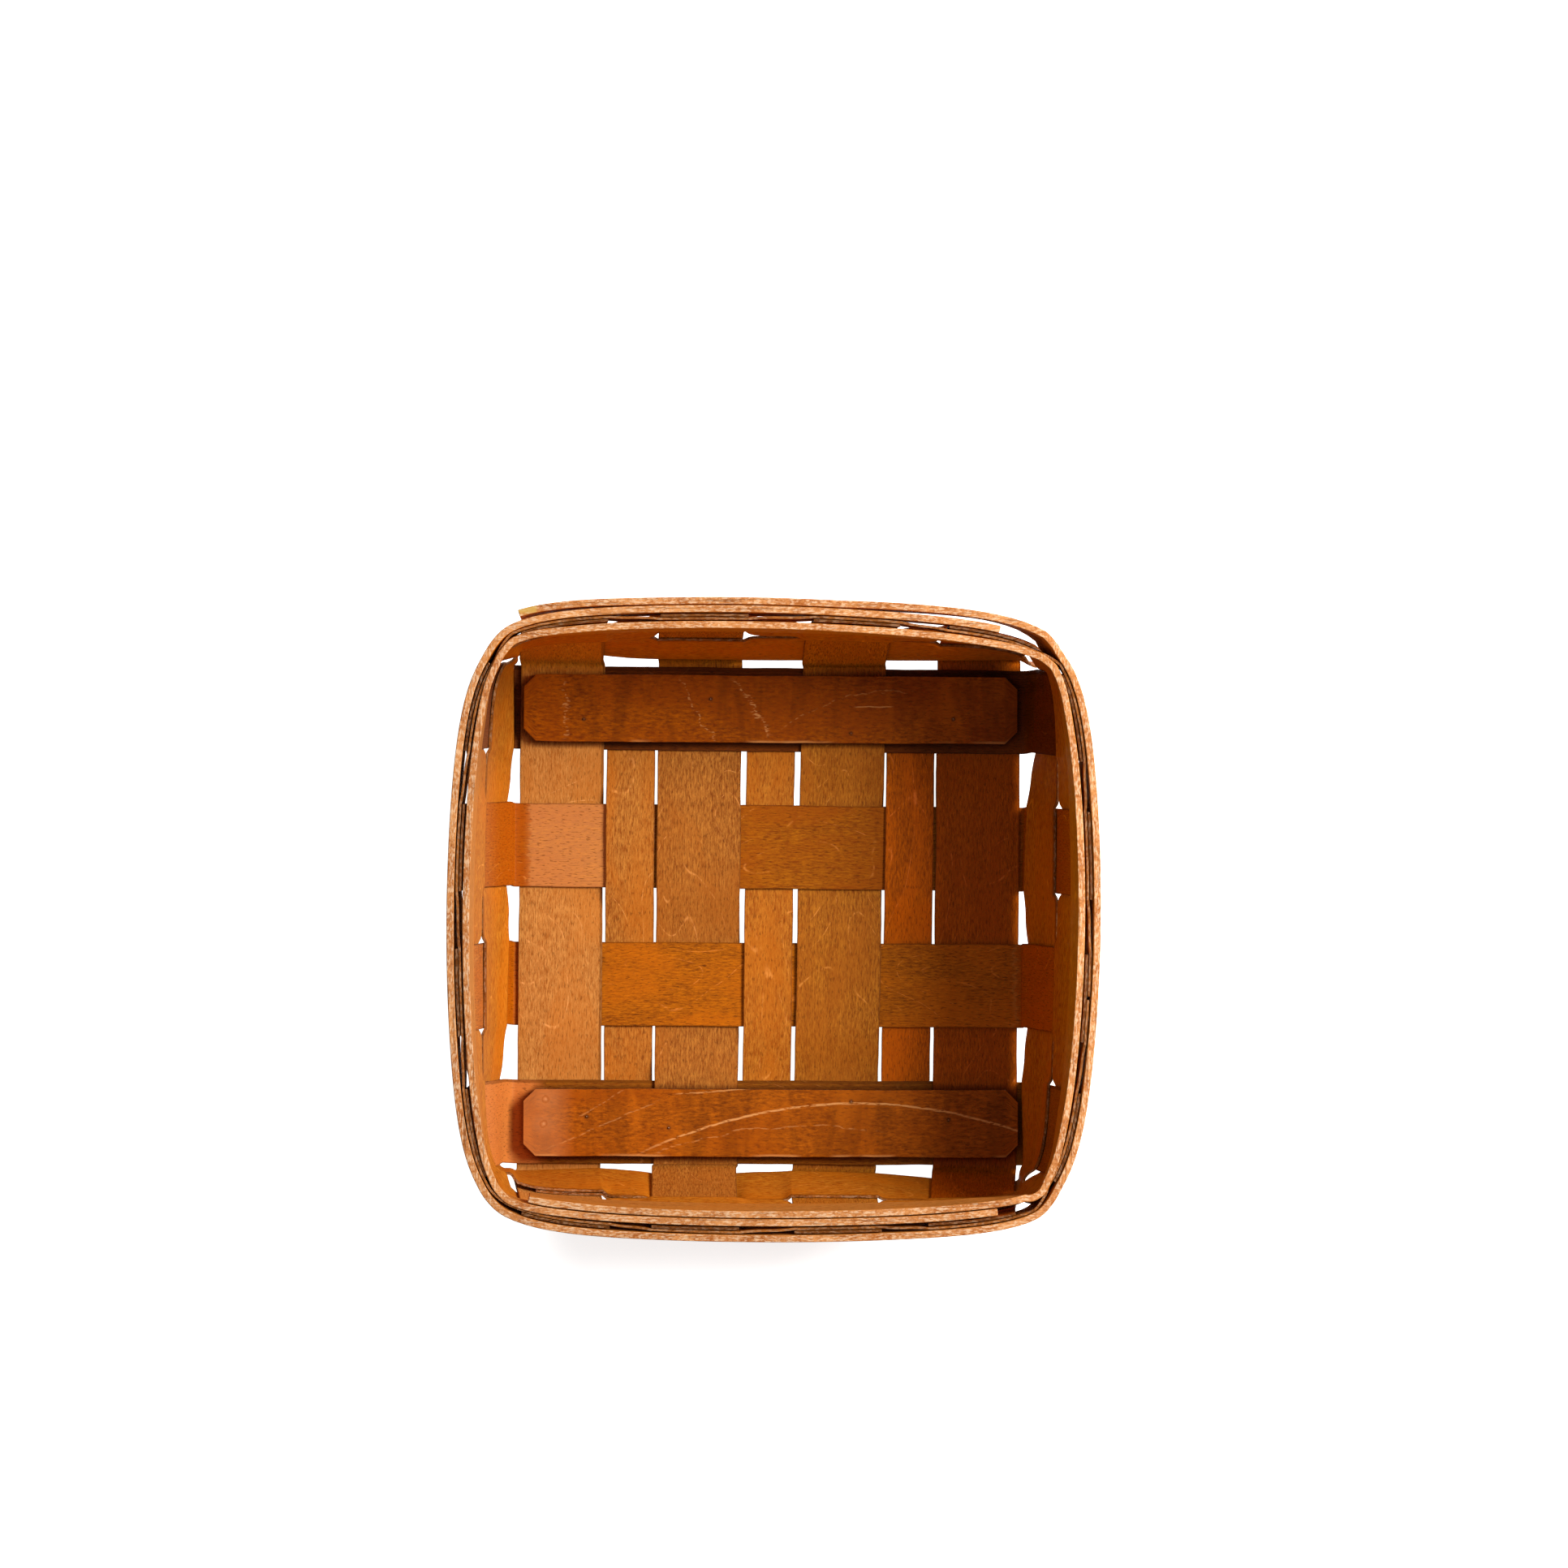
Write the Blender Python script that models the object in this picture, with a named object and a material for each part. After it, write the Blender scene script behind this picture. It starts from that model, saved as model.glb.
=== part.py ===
"""Square basket of flat wood splints, standing upright with its opening up.

Metres, +Z up. The basket stands on the tack heads under its base at z = 0,
centred on the Z axis. Long splints run front to back, cross splints run left to
right, and the wide ones of both kinds bend up into the walls, where two weavers
hold them, and a rim weaver and two hoops at the top.
"""

import math

import bmesh
import bpy
from mathutils import Matrix, Vector

# Splints of the base
SPLINT = 0.0009
WIDE = 0.0317
NARROW = 0.0183
CENTRE_SEAM = 0.0018
SIDE_SEAM = 0.0010
CROSS_GAP = 0.0204
FILLER_TUCK = 0.0045
CLEARANCE = 0.0003

# Walls
WEAVER_HEIGHT = 0.0254
WEAVER_GAP = 0.0024
FOOT_RISE = 0.0060
BEND_LEAD = 0.0013
FOOT_BEND_X = 0.0021
FOOT_BEND_Y = 0.0014
FOOT_LEAN_X = -0.0005
FOOT_LEAN_Y = 0.0004
FLARE_X = 0.0166
FLARE_Y = 0.0145
RIM_LEAN_X = 0.0017
RIM_LEAN_Y = -0.0028
SPLINT_END_DROP = 0.0006
LOWER_CORNER_CUT = 0.0012
UPPER_CORNER_CUT = 0.0022

# Rim hoops
HOOP_HEIGHT = 0.0180
HOOP_THICK = 0.0027
HOOP_GAP = 0.0031
HOOP_SLACK = 0.0002
RIM_WEAVER_STEP = 0.0015
HOOP_FREE_REACH = 0.0905
HOOP_BURIED_REACH = 0.0816
TAIL_SPRING = 0.0018
TAIL_SPRING_RUN = 0.0550
LAP_BOW = 0.0002
EASE_REACH = 0.0055
EASE_STEPS = 12
OUTER_SPRING = 0.0001
INNER_SPRING = 0.0006
RIM_CORNER_CUT = -0.0003

# Cleats inside the base
CLEAT_WIDTH = 0.0254
CLEAT_THICK = 0.0048
CLEAT_CHAMFER = 0.0046
CLEAT_END_GAP = 0.0026
EDGE_ROUND = 0.0004

# Tacks
TACK_HEAD = 0.0044
TACK_HEAD_THICK = 0.0006
TACK_SHANK = 0.0012
TACK_SINK = 0.0001
TACK_POINT = 0.0014
TACK_TIP = 0.0008
RIM_TACK_STOP = 0.0012
CUT_OVERRUN = 0.0020

# How far each splint is out of square, as a rise over a run
LONG_SLOPES = (0.0086, 0.0093, 0.0200, 0.0110)
FILLER_SLOPES = (0.0080, 0.0120, 0.0155)
CROSS_SLOPES = (-0.0110, -0.0090, -0.0060, -0.0045)

# The same for the cleats, back row and front row
CLEAT_SLOPES = {0: -0.0066, 3: -0.0035}
CLEAT_SHIFT = 0.0007

# True where a long or filler splint lies over the cross splint, back row first
LONG_OVER = (
    (True, False, True, False),
    (False, True, False, True),
    (True, False, True, False),
    (False, True, False, True),
)
FILLER_OVER = (
    (False, True, False, False),
    (False, False, True, False),
    (False, True, False, False),
)

# Plan of the walls: how fast they flare, and how round their corners are at foot
# and rim, as one over the exponent of a rounded square
FLARE_POWER = 1.86
ROUNDING_POWER = 2.6
FOOT_ROUND_SHARE = 0.015
RIM_ROUND_SHARE = 0.133

# Bow of each side at foot and rim, and how far one end of a side stands out more
# than the other there, in the order back, left, front, right
FOOT_BOWS = (-0.0010, -0.0012, -0.0026, -0.0026)
RIM_BOWS = (0.0073, 0.0092, 0.0062, 0.0106)
FOOT_SKEWS = (0.0008, 0.0015, 0.0012, 0.0024)
RIM_SKEWS = (0.0031, 0.0002, 0.0001, 0.0016)

# Lean of the four splints beside the corners at the rim, as shares of WIDE
BACK_LEAN_SHARE = 0.04
FRONT_LEAN_SHARE = 0.16
SIDE_LEAN_SHARE = 0.05

# Tacks through each cleat: across the long splint (share of WIDE) and across
# the cleat (share of its width), from the left
BACK_TACK_SHARES = ((0.26, -0.15), (0.13, 0.15), (0.09, -0.36), (-0.31, -0.15))
FRONT_TACK_SHARES = ((0.34, 0.10), (-0.32, -0.07), (0.18, 0.32), (-0.32, 0.05))

# Columns across a wide splint, as shares of its width
INNER_COLUMN_SHARES = (-0.5, 0.0, 0.5)
CORNER_COLUMN_SHARES = (-0.5, -0.1, 0.2, 0.38, 0.5)
RAMP_SHARES = (0.25, 0.5, 0.75)
WEAVER_RAMP_SHARES = (0.32, 0.68)
WEAVE_MARGIN_SHARE = 0.03
LAP_END_SHARE = 0.28
BUTT_SHARE = 0.02
LAP_CLEAR_SHARE = 0.02
CLIMB_SHARE = 0.17
EASE_STEP_SHARE = 0.01
CORNER_SPREAD = 1.5
BEND_SHARES = (0.25, 0.5, 0.75)
CORNER_STEP_SHARES = (0.2, 0.4, 0.6, 0.8)
HOOP_STEP_SHARES = (0.0, 0.03, 0.07, 0.12, 0.18, 0.26, 0.38, 0.5, 0.62, 0.74, 0.82, 0.88, 0.93, 0.97, 1.0)
SIDE_SHARE = 0.8
BEND_HANDLE_SHARE = 0.55
CORNER_HANDLE_SHARE = 0.42
SPIN_STEPS = 8
NUDGE = 0.0001
NUDGE_SHARE = 0.001
SMOOTH_ANGLE = math.radians(35)

# Sizes that follow from the ones above
LIFT = SPLINT + CLEARANCE
PLATEAU = WIDE / 2 + CLEARANCE
BASE_Z = TACK_HEAD_THICK + CLEARANCE + SPLINT / 2 + LIFT
CLEAT_Z = BASE_Z + LIFT + SPLINT / 2 + CLEARANCE
FOOT_Z = BASE_Z + FOOT_RISE
LOWER_TOP = FOOT_Z + WEAVER_HEIGHT
UPPER_FOOT = LOWER_TOP + WEAVER_GAP
UPPER_TOP = UPPER_FOOT + WEAVER_HEIGHT
HOOP_FOOT = UPPER_TOP + HOOP_GAP
RIM_Z = HOOP_FOOT + HOOP_HEIGHT
SPLINT_END = RIM_Z - SPLINT_END_DROP
RIM_WEAVER_FOOT = HOOP_FOOT + RIM_WEAVER_STEP
HOOP_OFFSET = LIFT / 2 + SPLINT / 2 + CLEARANCE + HOOP_SLACK + HOOP_THICK / 2
HOOP_PLY = HOOP_THICK + CLEARANCE

LONG_INNER = NARROW / 2 + CENTRE_SEAM + WIDE / 2
FILLER_PLACE = LONG_INNER + WIDE / 2 + SIDE_SEAM + NARROW / 2
LONG_OUTER = FILLER_PLACE + NARROW / 2 + SIDE_SEAM + WIDE / 2
LONG_PLACES = (-LONG_OUTER, -LONG_INNER, LONG_INNER, LONG_OUTER)
FILLER_PLACES = (-FILLER_PLACE, 0.0, FILLER_PLACE)
CROSS_INNER = (WIDE + CROSS_GAP) / 2
CROSS_OUTER = 3 * CROSS_INNER
CROSS_PLACES = (CROSS_OUTER, CROSS_INNER, -CROSS_INNER, -CROSS_OUTER)

LONG_EDGE = LONG_OUTER + WIDE / 2
CROSS_EDGE = CROSS_OUTER + WIDE / 2
BASE_HALF_X = LONG_EDGE + max(abs(slope) for slope in LONG_SLOPES) * CROSS_EDGE / 2 + CLEARANCE
BASE_HALF_Y = CROSS_EDGE + max(abs(slope) for slope in CROSS_SLOPES) * LONG_EDGE + CLEARANCE
FOOT_HALF_X = BASE_HALF_X + FOOT_BEND_X
FOOT_HALF_Y = BASE_HALF_Y + FOOT_BEND_Y
RIM_HALF_X = FOOT_HALF_X + FLARE_X
RIM_HALF_Y = FOOT_HALF_Y + FLARE_Y
CLEAT_LENGTH = 2 * (BASE_HALF_X - CLEAT_END_GAP)

# The four sides in the order that the weavers take them, seen from above:
# back, left, front, right. Each has its outward and its forward direction.
SIDES = (
    (Vector((0, 1, 0)), Vector((-1, 0, 0))),
    (Vector((-1, 0, 0)), Vector((0, -1, 0))),
    (Vector((0, -1, 0)), Vector((1, 0, 0))),
    (Vector((1, 0, 0)), Vector((0, 1, 0))),
)
BACK, LEFT, FRONT, RIGHT = range(4)
LOWER, UPPER, RIM = range(3)

# Bottom, top and number of facets up each weaver
WEAVER_RISES = ((FOOT_Z, LOWER_TOP, 3), (UPPER_FOOT, UPPER_TOP, 2), (RIM_WEAVER_FOOT, SPLINT_END, 1))


def smooth(share):
    """Ease from 0 to 1 with level ends."""
    share = min(max(share, 0.0), 1.0)
    return share * share * (3 - 2 * share)


def mix(first, second, share):
    return first + (second - first) * share


def bezier(start, first_handle, last_handle, end, share):
    """Point of a smooth curve from start to end with a handle at each."""
    first = mix(start, first_handle, share)
    middle = mix(first_handle, last_handle, share)
    last = mix(last_handle, end, share)
    return mix(mix(first, middle, share), mix(middle, last, share), share)


# The shell: the middle surface of the walls


def rise_share(z):
    return min(max((z - FOOT_Z) / (RIM_Z - FOOT_Z), 0.0), 1.0)


def half_sizes(z):
    """Half of the shell's width and depth at a height."""
    closing = (1 - rise_share(z)) ** FLARE_POWER
    return RIM_HALF_X - FLARE_X * closing, RIM_HALF_Y - FLARE_Y * closing


def roundness(z):
    """Exponent of the rounded square at a height."""
    squareness = (1 - rise_share(z)) ** ROUNDING_POWER
    return 1 / mix(RIM_ROUND_SHARE, FOOT_ROUND_SHARE, squareness)


def shell_centre(z):
    share = rise_share(z)
    return Vector((mix(FOOT_LEAN_X, RIM_LEAN_X, share), mix(FOOT_LEAN_Y, RIM_LEAN_Y, share), z))


def side_halves(side, z):
    half_x, half_y = half_sizes(z)
    return (half_y, half_x) if side in (BACK, FRONT) else (half_x, half_y)


def side_point(side, lateral, z):
    """Point of the shell on one side, at a distance along that side."""
    outward, forward = SIDES[side]
    half_out, half_along = side_halves(side, z)
    power = roundness(z)
    share = min(max(lateral / half_along, -1.0), 1.0)
    distance = half_out * (1 - abs(share) ** power) ** (1 / power)
    distance += mix(FOOT_SKEWS[side], RIM_SKEWS[side], rise_share(z)) * share
    distance -= mix(FOOT_BOWS[side], RIM_BOWS[side], rise_share(z)) * share ** 2
    return shell_centre(z) + outward * distance + forward * lateral


def side_normal(side, lateral, z):
    along = side_point(side, lateral + NUDGE, z) - side_point(side, lateral - NUDGE, z)
    upward = side_point(side, lateral, z + NUDGE) - side_point(side, lateral, z - NUDGE)
    return along.cross(upward).normalized()


def corner_point(side, share, z):
    """Point of the shell between the end of one side and the start of the next."""
    following = (side + 1) % 4
    end = side_spans[side][1]
    start = side_spans[following][0]
    first = side_point(side, end, z)
    last = side_point(following, start, z)
    reach = (last - first).length * CORNER_HANDLE_SHARE
    leaving = (first - side_point(side, end - NUDGE, z)).normalized() * reach
    arriving = (side_point(following, start + NUDGE, z) - last).normalized() * reach
    return bezier(first, first + leaving, last - arriving, last, share)


def ring_point(place, z):
    """Point of the shell at a place round the basket: 0 to 4, a side to each unit."""
    side = math.floor(place) % 4
    local = place - math.floor(place)
    if local > SIDE_SHARE:
        return corner_point(side, (local - SIDE_SHARE) / (1 - SIDE_SHARE), z)
    start, end = side_spans[side]
    return side_point(side, mix(start, end, local / SIDE_SHARE), z)


def eased_point(place, z):
    """The same with the corners eased, as a stiff hoop takes them."""
    centre = ring_point(place, z)
    total = Vector()
    weights = 0
    for step in range(-EASE_STEPS, EASE_STEPS + 1):
        before = ring_point(place + (step - 0.5) * EASE_STEP_SHARE, z)
        after = ring_point(place + (step + 0.5) * EASE_STEP_SHARE, z)
        point = (before + after) / 2
        weight = (after - before).length * math.exp(-((point - centre).length / EASE_REACH) ** 2)
        total += point * weight
        weights += weight
    return total / weights


def ring_normal(place, z):
    along = ring_point(place + NUDGE_SHARE, z) - ring_point(place - NUDGE_SHARE, z)
    upward = ring_point(place, z + NUDGE) - ring_point(place, z - NUDGE)
    return along.cross(upward).normalized()


def ring_place(side, lateral):
    start, end = side_spans[side]
    return side + SIDE_SHARE * (lateral - start) / (end - start)


# The uprights: where the wide splints climb the walls


class Upright:
    """One end of a wide splint on a wall."""

    def __init__(self, side, place, slope, inside, base_lift, lean):
        self.side = side
        self.place = place
        self.slope = slope
        self.inside = inside
        self.base_lift = base_lift
        self.lean = lean
        self.mirror = -1 if side in (BACK, LEFT) else 1
        self.ending = 1 if side in (BACK, RIGHT) else -1
        self.base_half = BASE_HALF_Y if side in (BACK, FRONT) else BASE_HALF_X

    def across(self, z):
        """Distance of the splint's middle line from the centre, across the splint."""
        run = self.base_half + z - BASE_Z
        lean = -math.copysign(self.lean * rise_share(z), self.place)
        return self.place + self.slope * run * self.ending + lean

    def lateral(self, z, share=0.0):
        """The same along the side, for a share of the splint's width."""
        return self.mirror * (self.across(z) + share * WIDE)

    def push(self, z):
        """Distance outward from the shell that the weave gives the splint."""
        lower_middle = (FOOT_Z + LOWER_TOP) / 2
        upper_middle = (UPPER_FOOT + UPPER_TOP) / 2
        foot_push = abs(self.base_lift)
        if z < lower_middle:
            push = mix(foot_push, LIFT / 2, smooth((z - FOOT_Z) / (lower_middle - FOOT_Z)))
        elif z < upper_middle:
            push = LIFT / 2 - LIFT * smooth((z - lower_middle) / (upper_middle - lower_middle))
        else:
            push = LIFT * smooth((z - upper_middle) / (RIM_WEAVER_FOOT - upper_middle)) - LIFT / 2
        return -push if self.inside else push

    def columns(self):
        """Shares across the splint, closer together towards a corner of the basket."""
        if abs(self.place) < LONG_INNER + NARROW:
            return INNER_COLUMN_SHARES
        if self.place > 0:
            return CORNER_COLUMN_SHARES
        return tuple(-share for share in reversed(CORNER_COLUMN_SHARES))

    def point(self, share, z):
        lateral = self.lateral(z, share)
        return side_point(self.side, lateral, z) + side_normal(self.side, lateral, z) * self.push(z)


def lean_of(side, outer):
    if not outer:
        return 0.0
    shares = {BACK: BACK_LEAN_SHARE, FRONT: FRONT_LEAN_SHARE}
    return shares.get(side, SIDE_LEAN_SHARE) * WIDE


def long_upright(index, side):
    over = LONG_OVER[index][0 if side == BACK else 3]
    outer = index in (0, 3)
    lift = LIFT if over else -LIFT
    return Upright(side, LONG_PLACES[index], LONG_SLOPES[index], over, lift, lean_of(side, outer))


def cross_upright(index, side):
    covering = LONG_OVER[3 if side == RIGHT else 0][index]
    outer = index in (0, 3)
    return Upright(side, CROSS_PLACES[index], CROSS_SLOPES[index], not covering, 0.0, lean_of(side, outer))


long_ends = {(index, side): long_upright(index, side) for index in range(4) for side in (BACK, FRONT)}
cross_ends = {(index, side): cross_upright(index, side) for index in range(4) for side in (LEFT, RIGHT)}


def side_uprights(side):
    """The four uprights of a side in the order that the weavers meet them."""
    ends = long_ends if side in (BACK, FRONT) else cross_ends
    found = [upright for (index, place), upright in ends.items() if place == side]
    return sorted(found, key=lambda upright: upright.lateral(FOOT_Z))


def upright_edges(upright, bottom, top):
    """Lowest and highest distance along the side that an upright takes up."""
    edges = [upright.lateral(z, share) for z in (bottom, top) for share in (-0.5, 0.5)]
    return min(edges) - CLEARANCE, max(edges) + CLEARANCE


def span_of(side):
    uprights = side_uprights(side)
    first = upright_edges(uprights[0], FOOT_Z, RIM_Z)
    last = upright_edges(uprights[-1], FOOT_Z, RIM_Z)
    return first[0], last[1]


side_spans = [span_of(side) for side in range(4)]


# Building tools


def add_object(name, mesh, material=None):
    made = bpy.data.objects.new(name, mesh)
    bpy.context.scene.collection.objects.link(made)
    made.parent = basket
    if material:
        mesh.materials.append(material)
    return made


def finish_mesh(name, bm):
    mesh = bpy.data.meshes.new(name)
    bm.to_mesh(mesh)
    bm.free()
    mesh.shade_smooth()
    mesh.set_sharp_from_angle(angle=SMOOTH_ANGLE)
    return mesh


def strip(name, rows, thickness, material):
    """A strip of wood whose middle surface runs through rows of points."""
    bm = bmesh.new()
    lengths = len(rows) - 1
    widths = len(rows[0]) - 1
    bmesh.ops.create_grid(bm, x_segments=lengths, y_segments=widths, size=0.5)
    for vert in bm.verts:
        row = round((vert.co.x + 0.5) * lengths)
        column = round((vert.co.y + 0.5) * widths)
        vert.co = rows[row][column]
    bmesh.ops.triangulate(bm, faces=bm.faces, quad_method="SHORT_EDGE")
    made = add_object(name, finish_mesh(name, bm), material)
    solid = made.modifiers.new("thickness", "SOLIDIFY")
    solid.thickness = thickness
    solid.offset = 0
    solid.use_even_offset = True
    return made


def pierce(target, cutters):
    """Cut the tacks' holes through a piece."""
    group = bpy.data.collections.new(target.name + "_holes")
    for cutter in cutters:
        group.objects.link(cutter)
    cut = target.modifiers.new("tack_holes", "BOOLEAN")
    cut.operation = "DIFFERENCE"
    cut.operand_type = "COLLECTION"
    cut.collection = group
    cut.solver = "EXACT"


def turned(name, profile):
    """A closed round piece from a profile of radius and height."""
    bm = bmesh.new()
    verts = [bm.verts.new((radius, 0, height)) for radius, height in profile]
    edges = [bm.edges.new(pair) for pair in zip(verts, verts[1:])]
    bmesh.ops.spin(bm, geom=verts + edges, cent=(0, 0, 0), axis=(0, 0, 1), angle=2 * math.pi,
                   steps=SPIN_STEPS, use_merge=True)
    bmesh.ops.remove_doubles(bm, verts=bm.verts, dist=NUDGE / 10)
    bmesh.ops.recalc_face_normals(bm, faces=bm.faces)
    return finish_mesh(name, bm)


def wood(name, colour, roughness):
    material = bpy.data.materials.new(name)
    material.use_nodes = True
    shader = material.node_tree.nodes["Principled BSDF"]
    shader.inputs["Base Color"].default_value = (*colour, 1)
    shader.inputs["Roughness"].default_value = roughness
    return material


def metal(name, colour, roughness):
    material = wood(name, colour, roughness)
    material.node_tree.nodes["Principled BSDF"].inputs["Metallic"].default_value = 1
    return material


# Splints


def cross_line(index, across):
    """Middle line of a cross splint at a distance across the basket."""
    return CROSS_PLACES[index] + CROSS_SLOPES[index] * across


def base_stations(place, slope, over, first_end, last_end):
    """Places along a long splint, and its height there, over and under the cross splints."""
    spans = []
    for index in reversed(range(4)):
        middle = cross_line(index, place + slope * CROSS_PLACES[index])
        reach = PLATEAU + abs(CROSS_SLOPES[index]) * WIDE / 2
        spans.append((middle - reach, middle + reach, LIFT if over[index] else -LIFT))
    spans[0] = (first_end, *spans[0][1:])
    spans[-1] = (spans[-1][0], last_end, spans[-1][2])
    stations = []
    for start, end, lift in spans:
        if stations and stations[-1][1] != lift:
            ramp_start, old_lift = stations[-1]
            for share in RAMP_SHARES:
                stations.append((mix(ramp_start, start, share), mix(old_lift, lift, smooth(share))))
        stations += [(start, lift), (end, lift)]
    return stations


def wall_levels():
    """Heights at which every upright has its points, shared with the weavers."""
    return [z for level in (LOWER, UPPER, RIM) for z in weaver_levels(level)]


def weaver_levels(level):
    bottom, top, steps = WEAVER_RISES[level]
    return [mix(bottom, top, step / steps) for step in range(steps + 1)]


def bend_point(start, outward, end, climb, share):
    """Point of the rounded bend from the flat base up into the wall."""
    first_handle = start + outward * (end - start).dot(outward) * BEND_HANDLE_SHARE
    last_handle = end - climb * (end.z - start.z) * BEND_HANDLE_SHARE
    return bezier(start, first_handle, last_handle, end, share)


def wall_rows(upright, base_point, shares):
    """Rows of points from the base's edge round the bend and up the wall."""
    outward = SIDES[upright.side][0]
    rows = []
    for step in BEND_SHARES:
        row = []
        for share in shares:
            end = upright.point(share, FOOT_Z)
            climb = upright.point(share, FOOT_Z + NUDGE) - end
            row.append(bend_point(base_point(share), outward, end, climb / climb.z, step))
        rows.append(row)
    for z in wall_levels():
        rows.append([upright.point(share, z) for share in shares])
    return rows


def long_splint(index):
    place = LONG_PLACES[index]
    slope = LONG_SLOPES[index]
    front = long_ends[index, FRONT]
    back = long_ends[index, BACK]
    shares = back.columns()

    def at(along, lift):
        return [Vector((place + slope * along + share * WIDE, along, BASE_Z + lift)) for share in shares]

    front_end = BASE_HALF_Y - (BEND_LEAD if front.inside else 0)
    back_end = BASE_HALF_Y - (BEND_LEAD if back.inside else 0)
    stations = base_stations(place, slope, LONG_OVER[index], -front_end, back_end)
    base = [at(along, lift) for along, lift in stations]
    front_rows = wall_rows(front, lambda share: base[0][shares.index(share)], shares)
    back_rows = wall_rows(back, lambda share: base[-1][shares.index(share)], shares)
    return strip("long_splint_" + str(index + 1), front_rows[::-1] + base + back_rows, SPLINT, splint_wood)


def filler_splint(index):
    place = FILLER_PLACES[index]
    slope = FILLER_SLOPES[index]
    end = CROSS_EDGE - FILLER_TUCK
    rows = []
    for along, lift in base_stations(place, slope, FILLER_OVER[index], -end, end):
        middle = Vector((place + slope * along, along, BASE_Z + lift))
        rows.append([middle - Vector((NARROW / 2, 0, 0)), middle + Vector((NARROW / 2, 0, 0))])
    return strip("filler_splint_" + str(index + 1), rows, SPLINT, splint_wood)


def cross_splint(index):
    left = cross_ends[index, LEFT]
    right = cross_ends[index, RIGHT]
    shares = right.columns()

    def at(along):
        return [Vector((along, cross_line(index, along) + share * WIDE, BASE_Z)) for share in shares]

    base = [at(-BASE_HALF_X), at(BASE_HALF_X)]
    left_rows = wall_rows(left, lambda share: base[0][shares.index(share)], shares)
    right_rows = wall_rows(right, lambda share: base[1][shares.index(share)], shares)
    return strip("cross_splint_" + str(index + 1), left_rows[::-1] + base + right_rows, SPLINT, cross_wood)


# Weavers


class Visit:
    """One passing of a weaver over or under an upright."""

    def __init__(self, upright, turn, outside):
        self.upright = upright
        self.turn = turn
        self.outside = outside
        self.extra = 0.0

    def offset(self, z):
        lift = LIFT if self.outside else -LIFT
        return self.upright.push(z) + lift + self.extra

    def place(self, share, z):
        """Place round the ring at a share of the upright's width, at a height."""
        lateral = self.upright.lateral(z, self.upright.mirror * share)
        return ring_place(self.upright.side, lateral) + 4 * self.turn

    def shares(self):
        """Shares at which the weaver has rows here: the upright's columns and a margin."""
        columns = sorted(self.upright.mirror * share for share in self.upright.columns())
        return [-0.5 - WEAVE_MARGIN_SHARE, *columns, 0.5 + WEAVE_MARGIN_SHARE]


def weaver_visits(first, count, level):
    """The uprights that a weaver passes in turn, numbered from the back's first."""
    ring = [upright for side in range(4) for upright in side_uprights(side)]
    visits = []
    for number in range(first, first + count):
        upright = ring[number % len(ring)]
        outside = upright.inside if level != UPPER else not upright.inside
        visits.append(Visit(upright, number // len(ring), outside))
    return visits


def lay_laps(outer_ply, inner_ply):
    """Keep both layers of a weaver's lap on the same side of each upright."""
    for visit in outer_ply:
        visit.extra = LIFT if visit.outside else 0.0
    for visit in inner_ply:
        visit.extra = 0.0 if visit.outside else -LIFT


def shell_row(levels, place_at, offset_at, ease=0):
    row = []
    for z in levels:
        place = place_at(z)
        point = mix(ring_point(place, z), eased_point(place, z), ease)
        row.append(point + ring_normal(place, z) * offset_at(z))
    return row


def crossing_rows(visit, start_share, end_share, levels):
    """Rows of a weaver where it lies against an upright."""
    inner = [share for share in visit.shares() if start_share < share < end_share]
    shares = [max(start_share, visit.shares()[0]), *inner, min(end_share, visit.shares()[-1])]
    return [shell_row(levels, lambda z: visit.place(share, z), visit.offset) for share in sorted(set(shares))]


def free_rows(visit, following, levels, cut, eased):
    """Rows of a weaver between two uprights, easing from one side to the other."""
    corner = visit.upright.side != following.upright.side
    rows = []
    for step in CORNER_STEP_SHARES if corner else WEAVER_RAMP_SHARES:
        dip = 4 * step * (1 - step) * cut if corner else 0
        ease = smooth(4 * step * (1 - step)) if corner and eased else 0

        def place_at(z):
            leaving = visit.place(visit.shares()[-1], z)
            return mix(leaving, following.place(following.shares()[0], z), step)

        def offset_at(z):
            return mix(visit.offset(z), following.offset(z), smooth(step)) - dip

        rows.append(shell_row(levels, place_at, offset_at, ease))
    return rows


def weaver(name, level, visits, start_share, end_share, cut):
    """A weaver from a share of its first upright's width to a share of its last one's."""
    levels = weaver_levels(level)
    rows = []
    for visit in visits:
        first = start_share if visit == visits[0] else -1
        last = end_share if visit == visits[-1] else 1
        rows += crossing_rows(visit, first, last, levels)
        if visit != visits[-1]:
            rows += free_rows(visit, visits[visits.index(visit) + 1], levels, cut, level == RIM)
    return strip(name, rows, SPLINT, weaver_wood)


def lower_weaver():
    """Its lap is at the front's left: the outer layer begins beside the corner."""
    visits = weaver_visits(8, 18, LOWER)
    lay_laps(visits[:2], visits[-2:])
    return weaver("lower_weaver", LOWER, visits, -LAP_END_SHARE, 0, LOWER_CORNER_CUT)


def upper_weaver():
    """Its lap is at the back's left: the outer layer ends beside the corner."""
    visits = weaver_visits(2, 18, UPPER)
    lay_laps(visits[-2:], visits[:2])
    return weaver("upper_weaver", UPPER, visits, 0, LAP_END_SHARE, UPPER_CORNER_CUT)


def rim_weaver():
    """Its ends meet between an upright of the right side and the outer hoop."""
    visits = weaver_visits(13, 17, RIM)
    return weaver("rim_weaver", RIM, visits, BUTT_SHARE, -BUTT_SHARE, RIM_CORNER_CUT)


# Hoops


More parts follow.
